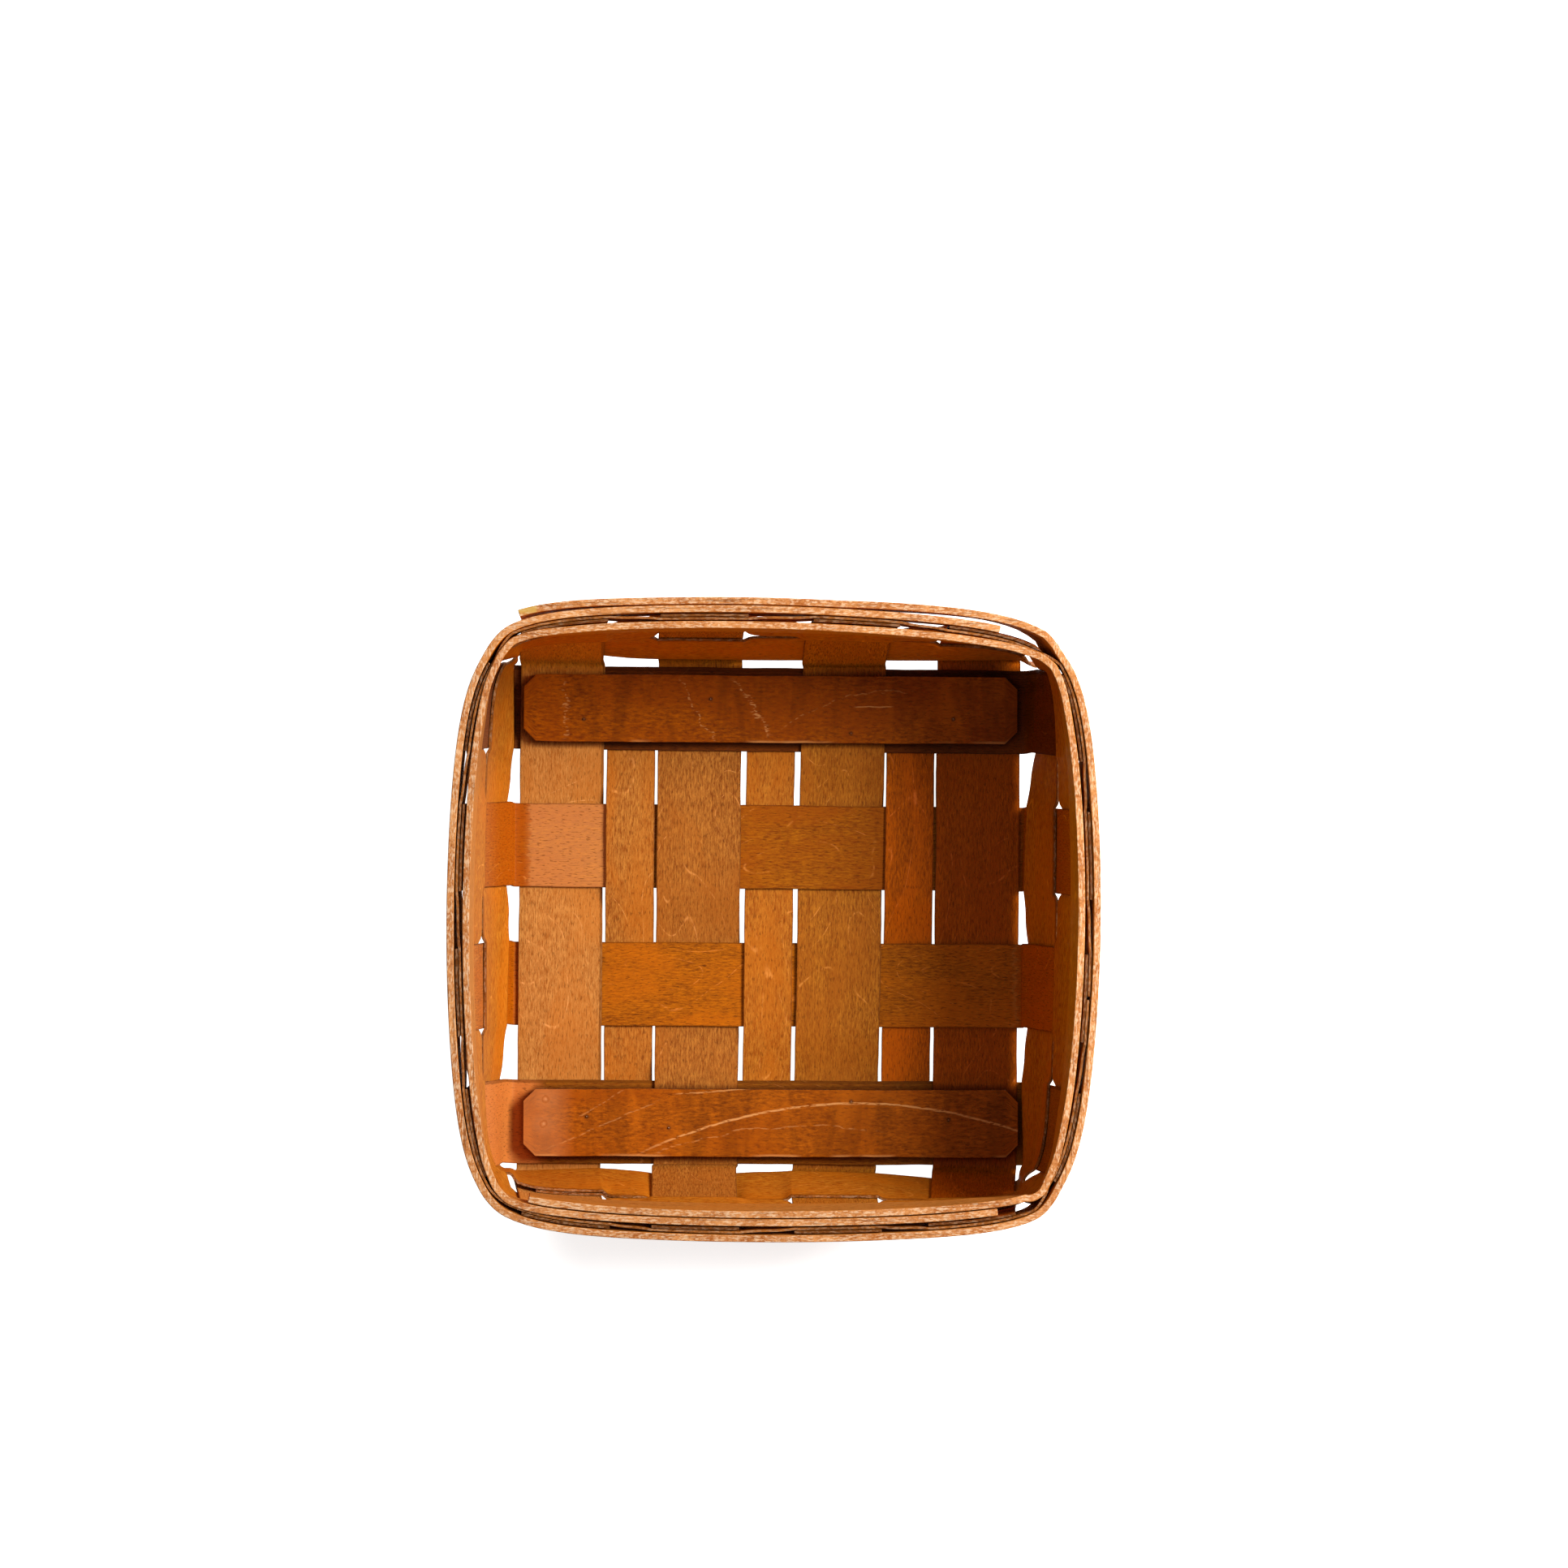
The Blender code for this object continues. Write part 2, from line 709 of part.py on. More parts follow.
def corner_share(place):
    """Grows from 0 on a side to 1 about a corner, where the hoops spring out."""
    middle = (1 + SIDE_SHARE) / 2
    away = abs((place - middle + 0.5) % 1 - 0.5)
    return smooth(CORNER_SPREAD * (1 - away / (1 - SIDE_SHARE)))


def hoop_row(place, offset):
    """The lower and the upper point of a hoop at a place."""
    foot, top = eased_point(place, HOOP_FOOT), eased_point(place, RIM_Z)
    along = eased_point(place + NUDGE_SHARE, RIM_Z) - eased_point(place - NUDGE_SHARE, RIM_Z)
    normal = along.cross(top - foot).normalized()
    return [foot + normal * offset, top + normal * offset]


def hoop(name, places, outward, lap):
    """A rim band whose ends overlap; lap gives the extra layer at a place."""
    rows = []
    for place in places:
        spring = OUTER_SPRING if outward > 0 else INNER_SPRING
        offset = outward * HOOP_OFFSET + spring * corner_share(place)
        rows.append(hoop_row(place, offset + lap(place)))
    return strip(name, rows, HOOP_THICK, hoop_wood)


def hoop_places(start, end):
    """Places of a hoop's rows, closer together towards the corners."""
    places = {start, end}
    for side in range(math.floor(start), math.floor(end) + 1):
        shares = [share * SIDE_SHARE for share in HOOP_STEP_SHARES]
        shares += [mix(SIDE_SHARE, 1, share) for share in CORNER_STEP_SHARES]
        places |= {side + share for share in shares}
    return sorted(round(place, 6) for place in places if start <= place <= end)


def outer_hoop():
    """Its ends overlap along the back: it starts at the right and ends free at the left."""
    start = ring_place(BACK, -HOOP_BURIED_REACH)
    end = ring_place(BACK, HOOP_FREE_REACH) + 4
    climb_start = 4 - CLIMB_SHARE
    spring_start = ring_place(BACK, HOOP_FREE_REACH - TAIL_SPRING_RUN) + 4
    bow_end = ring_place(BACK, 0) + 4

    def lap(place):
        layer = HOOP_PLY * smooth((place - climb_start) / (start + 4 - LAP_CLEAR_SHARE - climb_start))
        spring = TAIL_SPRING * max((place - spring_start) / (end - spring_start), 0.0) ** 2
        bow = min(max((place - climb_start) / (bow_end - climb_start), 0.0), 1.0)
        return layer + spring + LAP_BOW * 4 * bow * (1 - bow)

    return hoop("outer_hoop", hoop_places(start, end), 1, lap)


def inner_hoop():
    """Its ends overlap along the front: its free end, inside, is at the left."""
    start = ring_place(FRONT, -HOOP_FREE_REACH)
    end = ring_place(FRONT, HOOP_BURIED_REACH) + 4

    lap_end = end - 4 + LAP_CLEAR_SHARE

    def lap(place):
        return -HOOP_PLY * (1 - smooth((place - lap_end) / (RIGHT - lap_end)))

    return hoop("inner_hoop", hoop_places(start, end), -1, lap)


# Cleats and tacks


def cleat(name, row):
    """A flat slat along a cross splint, with its corners cut off and its edges eased."""
    bm = bmesh.new()
    bmesh.ops.create_cube(bm, size=1)
    bmesh.ops.scale(bm, vec=(CLEAT_LENGTH, CLEAT_WIDTH, CLEAT_THICK), verts=bm.verts)
    for offset, along_z in ((CLEAT_CHAMFER, True), (EDGE_ROUND, False)):
        chosen = [edge for edge in bm.edges if (edge_rise(edge) > CLEAT_THICK / 2) == along_z]
        bmesh.ops.bevel(bm, geom=chosen, offset=offset, offset_type="OFFSET", segments=1,
                        profile=0.5, affect="EDGES", material=-1)
    spin = Matrix.Rotation(math.atan(CLEAT_SLOPES[row]), 3, "Z")
    bmesh.ops.rotate(bm, cent=(0, 0, 0), matrix=spin, verts=bm.verts)
    middle = Vector((CLEAT_SHIFT, CROSS_PLACES[row], CLEAT_Z + CLEAT_THICK / 2))
    bmesh.ops.translate(bm, vec=middle, verts=bm.verts)
    return add_object(name, finish_mesh(name, bm), cleat_wood)


def edge_rise(edge):
    return abs(edge.verts[0].co.z - edge.verts[1].co.z)


def set_along(item, place, direction):
    item.location = place
    item.rotation_mode = "QUATERNION"
    item.rotation_quaternion = direction.to_track_quat("Z", "Y")


def tack(name, place, direction, length):
    """A tack whose head starts at a place and whose point is at its full length."""
    cap = TACK_HEAD / 2
    shank = TACK_SHANK / 2
    body = turned(name, [(0, 0), (cap, 0), (cap, TACK_HEAD_THICK), (shank, TACK_HEAD_THICK),
                         (shank, length - TACK_POINT), (0, length)])
    set_along(add_object(name, body, tack_metal), place, direction)


def tack_hole(name, place, direction, start, seat, end):
    """The cutter for a tack: a shank hole, widened for the head down to its seat."""
    cap = TACK_HEAD / 2 + CLEARANCE
    shank = TACK_SHANK / 2 + CLEARANCE
    profile = [(0, start), (cap, start), (cap, seat), (shank, seat), (shank, end), (0, end)]
    cutter = add_object(name + "_hole", turned(name + "_hole", profile))
    cutter.hide_render = True
    cutter.display_type = "WIRE"
    set_along(cutter, place, direction)
    return cutter


def cleat_tacks():
    """Tacks driven up through the splints and a cleat, listed by row and long splint."""
    cutters = {}
    upward = Vector((0, 0, 1))
    for row, shares in ((0, BACK_TACK_SHARES), (3, FRONT_TACK_SHARES)):
        for index, (across_share, along_share) in enumerate(shares):
            along = CROSS_PLACES[row] + along_share * CLEAT_WIDTH
            across = LONG_PLACES[index] + LONG_SLOPES[index] * along + across_share * WIDE
            lowest = BASE_Z - SPLINT / 2 - (0 if LONG_OVER[index][row] else LIFT)
            head = Vector((across, along, lowest - CLEARANCE - TACK_HEAD_THICK))
            length = CLEAT_Z + CLEAT_THICK + TACK_TIP - head.z
            name = "cleat_tack_" + str(len(cutters) + 1)
            tack(name, head, upward, length)
            under = -CUT_OVERRUN
            seat = under + CLEARANCE
            cutters[row, index] = tack_hole(name, head, upward, under, seat, length + CUT_OVERRUN)
    return cutters


def rim_tacks():
    """Tacks driven in through the outer hoop, a middle upright and the inner hoop."""
    cutters = {}
    middle = (HOOP_FOOT + RIM_Z) / 2
    for side in range(4):
        for upright in side_uprights(side)[1:3]:
            lateral = upright.lateral(middle)
            normal = side_normal(side, lateral, middle)
            outer = HOOP_OFFSET + HOOP_THICK / 2 + (HOOP_PLY if side == BACK else 0)
            inner = HOOP_OFFSET + HOOP_THICK / 2 + (HOOP_PLY if side == FRONT else 0)
            head = side_point(side, lateral, middle) + normal * (outer - TACK_SINK)
            length = outer + inner - RIM_TACK_STOP
            name = "rim_tack_" + str(len(cutters) + 1)
            tack(name, head, -normal, length)
            seat = TACK_HEAD_THICK + CLEARANCE
            cutters[upright] = tack_hole(name, head, -normal, -CUT_OVERRUN, seat, length + CLEARANCE)
    return cutters


def centre_on_origin():
    """Move the whole basket so that its box is centred on the Z axis."""
    bpy.context.view_layer.update()
    graph = bpy.context.evaluated_depsgraph_get()
    points = []
    for made in basket.children:
        if not made.hide_render:
            final = made.evaluated_get(graph)
            mesh = final.to_mesh()
            points += [final.matrix_world @ vert.co for vert in mesh.vertices]
            final.to_mesh_clear()
    low_x, high_x = min(point.x for point in points), max(point.x for point in points)
    low_y, high_y = min(point.y for point in points), max(point.y for point in points)
    basket.location = (-(low_x + high_x) / 2, -(low_y + high_y) / 2, 0)


for old in list(bpy.data.objects):
    bpy.data.objects.remove(old)

basket = bpy.data.objects.new("basket", None)
bpy.context.scene.collection.objects.link(basket)

splint_wood = wood("long_splint_wood", (0.42, 0.16, 0.035), 0.55)
cross_wood = wood("cross_splint_wood", (0.45, 0.18, 0.04), 0.55)
weaver_wood = wood("weaver_wood", (0.40, 0.15, 0.035), 0.55)
hoop_wood = wood("hoop_wood", (0.56, 0.26, 0.09), 0.6)
cleat_wood = wood("cleat_wood", (0.38, 0.15, 0.03), 0.5)
tack_metal = metal("tack_steel", (0.45, 0.42, 0.38), 0.4)

long_splints = [long_splint(index) for index in range(4)]
for index in range(3):
    filler_splint(index)
cross_splints = [cross_splint(index) for index in range(4)]
lower_weaver()
upper_weaver()
rim_bands = [rim_weaver(), outer_hoop(), inner_hoop()]
cleats = {0: cleat("cleat_back", 0), 3: cleat("cleat_front", 3)}

base_cutters = cleat_tacks()
rim_cutters = rim_tacks()

for row, piece in cleats.items():
    pierce(piece, [base_cutters[row, index] for index in range(4)])
    pierce(cross_splints[row], [base_cutters[row, index] for index in range(4)])
for index, piece in enumerate(long_splints):
    pierce(piece, [base_cutters[0, index], base_cutters[3, index]])
for index in (1, 2):
    pierce(long_splints[index], [rim_cutters[long_ends[index, side]] for side in (BACK, FRONT)])
    pierce(cross_splints[index], [rim_cutters[cross_ends[index, side]] for side in (LEFT, RIGHT)])
for piece in rim_bands:
    pierce(piece, list(rim_cutters.values()))

centre_on_origin()
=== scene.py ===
"""A square basket of wood splints: detailed pieces, materials, floor, light and camera."""
import math

import bmesh
import bpy
from mathutils import Matrix, Vector, noise


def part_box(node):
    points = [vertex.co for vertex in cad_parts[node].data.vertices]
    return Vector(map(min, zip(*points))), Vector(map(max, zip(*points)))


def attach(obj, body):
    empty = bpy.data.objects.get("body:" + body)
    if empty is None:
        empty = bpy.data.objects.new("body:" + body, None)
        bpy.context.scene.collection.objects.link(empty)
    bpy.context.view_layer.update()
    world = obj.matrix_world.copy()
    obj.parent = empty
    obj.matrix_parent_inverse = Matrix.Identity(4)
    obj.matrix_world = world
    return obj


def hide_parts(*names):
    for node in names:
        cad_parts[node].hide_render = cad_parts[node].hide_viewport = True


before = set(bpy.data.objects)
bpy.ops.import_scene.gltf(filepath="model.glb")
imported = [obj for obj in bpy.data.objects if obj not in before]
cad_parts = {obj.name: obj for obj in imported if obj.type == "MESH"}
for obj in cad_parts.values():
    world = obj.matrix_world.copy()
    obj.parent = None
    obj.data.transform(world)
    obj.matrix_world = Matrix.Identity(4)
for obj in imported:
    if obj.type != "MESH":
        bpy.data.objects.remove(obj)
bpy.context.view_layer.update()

cleat_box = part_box("cleat_back")

# Splints, in metres
SPLINT = 0.0009
WIDE = 0.0317
NARROW = 0.0183
CENTRE_SEAM = 0.0018
SIDE_SEAM = 0.0010
CROSS_GAP = 0.0204
FILLER_TUCK = 0.0045
CLEARANCE = 0.0003

# Weavers and the shell that they follow
WEAVER_HEIGHT = 0.0254
WEAVER_GAP = 0.0024
FOOT_RISE = 0.0060
BEND_LEAD = 0.0013
FOOT_BEND_X = 0.0021
FOOT_BEND_Y = 0.0014
FOOT_LEAN_X = -0.0005
FOOT_LEAN_Y = 0.0004
FLARE_X = 0.0166
FLARE_Y = 0.0145
RIM_LEAN_X = 0.0017
RIM_LEAN_Y = -0.0028
SPLINT_END_DROP = 0.0006
LOWER_CORNER_CUTS = (0.0008, 0.0028)
UPPER_CORNER_CUTS = (0.0028, 0.0008)
RIM_CORNER_CUTS = (-0.0003, -0.0003)

# How quickly each weaver passes over between two uprights, at its foot and at its top
RAMP_POWERS = ((1.5, 6.0), (6.0, 2.0), (2.0, 2.0))

# Hoops
HOOP_HEIGHT = 0.0180
HOOP_THICK = 0.0027
HOOP_GAP = 0.0031
HOOP_SLACK = 0.0002
RIM_WEAVER_STEP = 0.0015
HOOP_FREE_REACH = 0.0905
HOOP_BURIED_REACH = 0.0816
TAIL_SPRING = 0.0009
TAIL_SPRING_RUN = 0.0550
LAP_BOW = 0.0008
LAP_BOW_END = 0.0250
EASE_REACH = 0.0055
EASE_STEPS = 12
OUTER_SPRING = 0.0001
INNER_SPRING = 0.0014
OUTER_TILT = 0.0016
INNER_TILT = 0.0010
HOOP_CLOSE_SHARES = (0.012, 0.03, 0.045, 0.755, 0.77, 0.788)

# Cleats and tacks
CLEAT_WIDTH = 0.0254
CLEAT_THICK = 0.0048
CLEAT_CHAMFER = 0.0046
CLEAT_END_GAP = 0.0026
TACK_HEAD = 0.0044
TACK_HEAD_THICK = 0.0006
TACK_SHANK = 0.0012
TACK_SINK = 0.0001
TACK_TIP = 0.0008
RIM_TACK_STOP = 0.0012
TACK_SIDES = 24
SHARP_ANGLE = math.radians(40)

# A tack's head, as shares of its radius with their heights, then its neck and its point, as
# shares of the shank's radius with their heights and their distances from the tip
CLEAT_TACK_HEAD = ((0.8, 0.0), (0.97, 0.00012), (1.0, 0.0003), (0.94, TACK_HEAD_THICK))
CLEAT_TACK_NECK = ((1.3, TACK_HEAD_THICK), (1.0, 0.0010))
CLEAT_TACK_POINT = ((1.0, 0.0016), (0.55, 0.0007), (0.2, 0.0001))
RIM_TACK_HEAD = ((0.5, 0.00006), (0.85, 0.00022), (1.0, 0.0004), (1.0, TACK_HEAD_THICK))
RIM_TACK_NECK = ((1.0, TACK_HEAD_THICK),)
RIM_TACK_POINT = ((1.0, 0.0014), (0.5, 0.0005))

# How far each piece strays sideways, as a share of its length, and how far the cleats are moved
LONG_SLOPES = (0.0086, 0.0093, 0.0200, 0.0110)
FILLER_SLOPES = (0.0080, 0.0120, 0.0155)
CROSS_SLOPES = (-0.0110, -0.0090, -0.0060, -0.0045)
CLEAT_SLOPES = {0: -0.0066, 3: -0.0035}
CLEAT_SHIFT = 0.0007

# Where each long splint and each filler lies over the cross splints, back to front
LONG_OVER = (
    (True, False, True, False),
    (False, True, False, True),
    (True, False, True, False),
    (False, True, False, True),
)
FILLER_OVER = (
    (False, True, False, False),
    (False, False, True, False),
    (False, True, False, False),
)

# The form of the shell, with bows and skews by side
FLARE_POWER = 1.86
ROUNDING_POWER = 2.6
FOOT_ROUND_SHARE = 0.015
RIM_ROUND_SHARE = 0.133
FOOT_BOWS = (-0.0010, -0.0012, -0.0026, -0.0026)
RIM_BOWS = (0.0073, 0.0092, 0.0062, 0.0106)
FOOT_SKEWS = (0.0008, 0.0015, 0.0012, 0.0024)
RIM_SKEWS = (0.0031, 0.0002, 0.0001, 0.0016)
BACK_LEAN_SHARE = 0.04
FRONT_LEAN_SHARE = 0.16
SIDE_LEAN_SHARE = 0.05

# Each cleat's tacks: shares of the splint's and the cleat's width
BACK_TACK_SHARES = ((0.26, -0.15), (0.13, 0.15), (0.09, -0.36), (-0.31, -0.15))
FRONT_TACK_SHARES = ((0.34, 0.10), (-0.32, -0.07), (0.18, 0.32), (-0.32, 0.05))

# Laps, climbs and small steps, as shares
WEAVE_MARGIN_SHARE = 0.006
LAP_END_SHARE = 0.28
BUTT_SHARE = 0.02
LAP_CLEAR_SHARE = 0.02
CLIMB_SHARE = 0.17
LAND_SHARE = 0.05
FOOT_DELAY = 0.55
EASE_STEP_SHARE = 0.01
CORNER_SPREAD = 1.5
SIDE_SHARE = 0.8
BEND_HANDLE_SHARE = 0.55
CORNER_HANDLE_SHARE = 0.42
NUDGE = 0.0001
NUDGE_SHARE = 0.001

# How much the two weavers grow towards each other in each side's three gaps
GAP_GROWTHS = (
    (0.0010, 0.0008, 0.0010),
    (0.0008, 0.0008, 0.0008),
    (0.0008, 0.0010, 0.0010),
    (0.0008, 0.0008, 0.0008),
)

# How far the lower weaver's foot rises before and behind each side's four uprights
FOOT_RISES = (
    ((0.0, -0.0024), (0.0, -0.0002), (-0.0024, -0.0020), (0.0021, 0.0)),
    ((0.0, -0.0008), (-0.0024, -0.0018), (0.0018, 0.0024), (0.0026, 0.0)),
    ((0.0, -0.0012), (0.0021, -0.0022), (0.0, 0.0), (0.0026, 0.0020)),
    ((0.0, 0.0), (-0.0014, -0.0022), (0.0, 0.0), (0.0, 0.0)),
)

# How finely the strips are divided
STEP = 0.0028
COLUMN_SHARES = tuple(-0.5 + number / 12 for number in range(13))
NARROW_SHARES = tuple(-0.5 + number / 8 for number in range(9))
BEND_STEPS = 8
RAMP_STEPS = 6
WEAVER_RAMP_STEPS = 12
CORNER_STEPS = 12
WEAVER_COLUMNS = 11
HOOP_COLUMNS = 8
HOOP_STEPS = 60

# The unevenness of a strip: waves and nicks to a metre, and how its seed moves them
EDGE_WAVES = 45
EDGE_NICKS = 260
NICK_SHARE = 0.4
FACE_WAVES_ALONG = 30
FACE_WAVES_ACROSS = 55
SEED_STEPS = (7.3, 1.9, 3.1)
GRAIN_SHIFT_ALONG = 1.37
GRAIN_SHIFT_ACROSS = 0.61

# How uneven edges and faces are, and how far the edges are worn round
SPLINT_WEAR = (0.00012, 0.00008, 0.00015)
HOOP_WEAR = (0.00010, 0.00003, 0.00035)
CLEAT_WEAR = (0.00014, 0.00004, 0.00016)
WORN_ANGLE = math.radians(60)

# The upright at which a weaver starts, counted round from the back's first, and how many it passes
LOWER_VISITS = (8, 18)
UPPER_VISITS = (2, 18)
RIM_VISITS = (13, 17)

# How quickly a weaver reaches its grown height beside an upright
GROWTH_QUICKNESS = 10

# Heights and places worked out from these sizes
LIFT = SPLINT + CLEARANCE
PLATEAU = WIDE / 2 + CLEARANCE
BASE_Z = TACK_HEAD_THICK + CLEARANCE + SPLINT / 2 + LIFT
CLEAT_Z = BASE_Z + LIFT + SPLINT / 2 + CLEARANCE
FOOT_Z = BASE_Z + FOOT_RISE
LOWER_TOP = FOOT_Z + WEAVER_HEIGHT
UPPER_FOOT = LOWER_TOP + WEAVER_GAP
UPPER_TOP = UPPER_FOOT + WEAVER_HEIGHT
HOOP_FOOT = UPPER_TOP + HOOP_GAP
RIM_Z = HOOP_FOOT + HOOP_HEIGHT
SPLINT_END = RIM_Z - SPLINT_END_DROP
RIM_WEAVER_FOOT = HOOP_FOOT + RIM_WEAVER_STEP
HOOP_OFFSET = LIFT / 2 + SPLINT / 2 + CLEARANCE + HOOP_SLACK + HOOP_THICK / 2
HOOP_PLY = HOOP_THICK + CLEARANCE

LONG_INNER = NARROW / 2 + CENTRE_SEAM + WIDE / 2
FILLER_PLACE = LONG_INNER + WIDE / 2 + SIDE_SEAM + NARROW / 2
LONG_OUTER = FILLER_PLACE + NARROW / 2 + SIDE_SEAM + WIDE / 2
LONG_PLACES = (-LONG_OUTER, -LONG_INNER, LONG_INNER, LONG_OUTER)
FILLER_PLACES = (-FILLER_PLACE, 0.0, FILLER_PLACE)
CROSS_INNER = (WIDE + CROSS_GAP) / 2
CROSS_OUTER = 3 * CROSS_INNER
CROSS_PLACES = (CROSS_OUTER, CROSS_INNER, -CROSS_INNER, -CROSS_OUTER)
LONG_EDGE = LONG_OUTER + WIDE / 2
CROSS_EDGE = CROSS_OUTER + WIDE / 2
BASE_HALF_X = LONG_EDGE + max(abs(slope) for slope in LONG_SLOPES) * CROSS_EDGE / 2 + CLEARANCE
BASE_HALF_Y = CROSS_EDGE + max(abs(slope) for slope in CROSS_SLOPES) * LONG_EDGE + CLEARANCE
FOOT_HALF_X = BASE_HALF_X + FOOT_BEND_X
FOOT_HALF_Y = BASE_HALF_Y + FOOT_BEND_Y
RIM_HALF_X = FOOT_HALF_X + FLARE_X
RIM_HALF_Y = FOOT_HALF_Y + FLARE_Y
CLEAT_LENGTH = 2 * (BASE_HALF_X - CLEAT_END_GAP)

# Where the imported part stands: its box is centred, so everything moves by this much
cleat_x = (cleat_box[0][0] + cleat_box[1][0]) / 2
cleat_y = (cleat_box[0][1] + cleat_box[1][1]) / 2
SHIFT = Vector((cleat_x - CLEAT_SHIFT, cleat_y - CROSS_OUTER, 0))

# Each side's outward direction, and the way round the basket along it
SIDES = (
    (Vector((0, 1, 0)), Vector((-1, 0, 0))),
    (Vector((-1, 0, 0)), Vector((0, -1, 0))),
    (Vector((0, -1, 0)), Vector((1, 0, 0))),
    (Vector((1, 0, 0)), Vector((0, 1, 0))),
)
BACK, LEFT, FRONT, RIGHT = range(4)
LOWER, UPPER, RIM = range(3)
WEAVER_SPANS = ((FOOT_Z, LOWER_TOP), (UPPER_FOOT, UPPER_TOP), (RIM_WEAVER_FOOT, SPLINT_END))


def smooth(share):
    share = min(max(share, 0.0), 1.0)
    return share * share * (3 - 2 * share)


def mix(first, second, share):
    return first + (second - first) * share


def bezier(start, first_handle, last_handle, end, share):
    """A point on a curve with two handles."""
    first = mix(start, first_handle, share)
    middle = mix(first_handle, last_handle, share)
    last = mix(last_handle, end, share)
    return mix(mix(first, middle, share), mix(middle, last, share), share)


# The shell: the middle surface of the walls


def rise_share(z):
    return min(max((z - FOOT_Z) / (RIM_Z - FOOT_Z), 0.0), 1.0)


def half_sizes(z):
    closing = (1 - rise_share(z)) ** FLARE_POWER
    return RIM_HALF_X - FLARE_X * closing, RIM_HALF_Y - FLARE_Y * closing


def roundness(z):
    squareness = (1 - rise_share(z)) ** ROUNDING_POWER
    return 1 / mix(RIM_ROUND_SHARE, FOOT_ROUND_SHARE, squareness)


def shell_centre(z):
    share = rise_share(z)
    return Vector((mix(FOOT_LEAN_X, RIM_LEAN_X, share), mix(FOOT_LEAN_Y, RIM_LEAN_Y, share), z))


def side_halves(side, z):
    half_x, half_y = half_sizes(z)
    return (half_y, half_x) if side in (BACK, FRONT) else (half_x, half_y)


def side_point(side, lateral, z):
    """A point of a flared, bowed side at a distance along it and a height."""
    outward, forward = SIDES[side]
    half_out, half_along = side_halves(side, z)
    power = roundness(z)
    share = min(max(lateral / half_along, -1.0), 1.0)
    distance = half_out * (1 - abs(share) ** power) ** (1 / power)
    distance += mix(FOOT_SKEWS[side], RIM_SKEWS[side], rise_share(z)) * share
    distance -= mix(FOOT_BOWS[side], RIM_BOWS[side], rise_share(z)) * share ** 2
    return shell_centre(z) + outward * distance + forward * lateral


def side_normal(side, lateral, z):
    along = side_point(side, lateral + NUDGE, z) - side_point(side, lateral - NUDGE, z)
    upward = side_point(side, lateral, z + NUDGE) - side_point(side, lateral, z - NUDGE)
    return along.cross(upward).normalized()


def corner_point(side, share, z):
    """A point between the last upright of a side and the first of the next."""
    following = (side + 1) % 4
    end = side_spans[side][1]
    start = side_spans[following][0]
    first = side_point(side, end, z)
    last = side_point(following, start, z)
    reach = (last - first).length * CORNER_HANDLE_SHARE
    leaving = (first - side_point(side, end - NUDGE, z)).normalized() * reach
    arriving = (side_point(following, start + NUDGE, z) - last).normalized() * reach
    return bezier(first, first + leaving, last - arriving, last, share)


def ring_point(place, z):
    """A point round the shell: a side is SIDE_SHARE of each whole number, its corner the rest."""
    side = math.floor(place) % 4
    local = place - math.floor(place)
    if local > SIDE_SHARE:
        return corner_point(side, (local - SIDE_SHARE) / (1 - SIDE_SHARE), z)
    start, end = side_spans[side]
    return side_point(side, mix(start, end, local / SIDE_SHARE), z)


def eased_point(place, z):
    """The same, with the corners eased as a stiff hoop takes them."""
    centre = ring_point(place, z)
    total = Vector()
    weights = 0
    for step in range(-EASE_STEPS, EASE_STEPS + 1):
        before = ring_point(place + (step - 0.5) * EASE_STEP_SHARE, z)
        after = ring_point(place + (step + 0.5) * EASE_STEP_SHARE, z)
        point = (before + after) / 2
        weight = (after - before).length * math.exp(-((point - centre).length / EASE_REACH) ** 2)
        total += point * weight
        weights += weight
    return total / weights


def ring_normal(place, z):
    along = ring_point(place + NUDGE_SHARE, z) - ring_point(place - NUDGE_SHARE, z)
    upward = ring_point(place, z + NUDGE) - ring_point(place, z - NUDGE)
    return along.cross(upward).normalized()


def ring_place(side, lateral):
    start, end = side_spans[side]
    return side + SIDE_SHARE * (lateral - start) / (end - start)


# The uprights: where the wide splints climb the walls


class Upright:
    """The part of a wide splint that climbs a wall and weaves in and out of the shell."""

    def __init__(self, side, place, slope, inside, base_lift, lean):
        self.side = side
        self.place = place
        self.slope = slope
        self.inside = inside
        self.base_lift = base_lift
        self.lean = lean
        self.mirror = -1 if side in (BACK, LEFT) else 1
        self.ending = 1 if side in (BACK, RIGHT) else -1
        self.base_half = BASE_HALF_Y if side in (BACK, FRONT) else BASE_HALF_X

    def across(self, z):
        run = self.base_half + z - BASE_Z
        lean = -math.copysign(self.lean * rise_share(z), self.place)
        return self.place + self.slope * run * self.ending + lean

    def lateral(self, z, share=0.0):
        return self.mirror * (self.across(z) + share * WIDE)

    def push(self, z):
        """How far it lies outside the shell at a height."""
        lower_middle = (FOOT_Z + LOWER_TOP) / 2
        upper_middle = (UPPER_FOOT + UPPER_TOP) / 2
        if z < lower_middle:
            push = mix(abs(self.base_lift), LIFT / 2, smooth((z - FOOT_Z) / (lower_middle - FOOT_Z)))
        elif z < upper_middle:
            push = LIFT / 2 - LIFT * smooth((z - lower_middle) / (upper_middle - lower_middle))
        else:
            push = LIFT * smooth((z - upper_middle) / (RIM_WEAVER_FOOT - upper_middle)) - LIFT / 2
        return -push if self.inside else push

    def point(self, share, z):
        lateral = self.lateral(z, share)
        return side_point(self.side, lateral, z) + side_normal(self.side, lateral, z) * self.push(z)


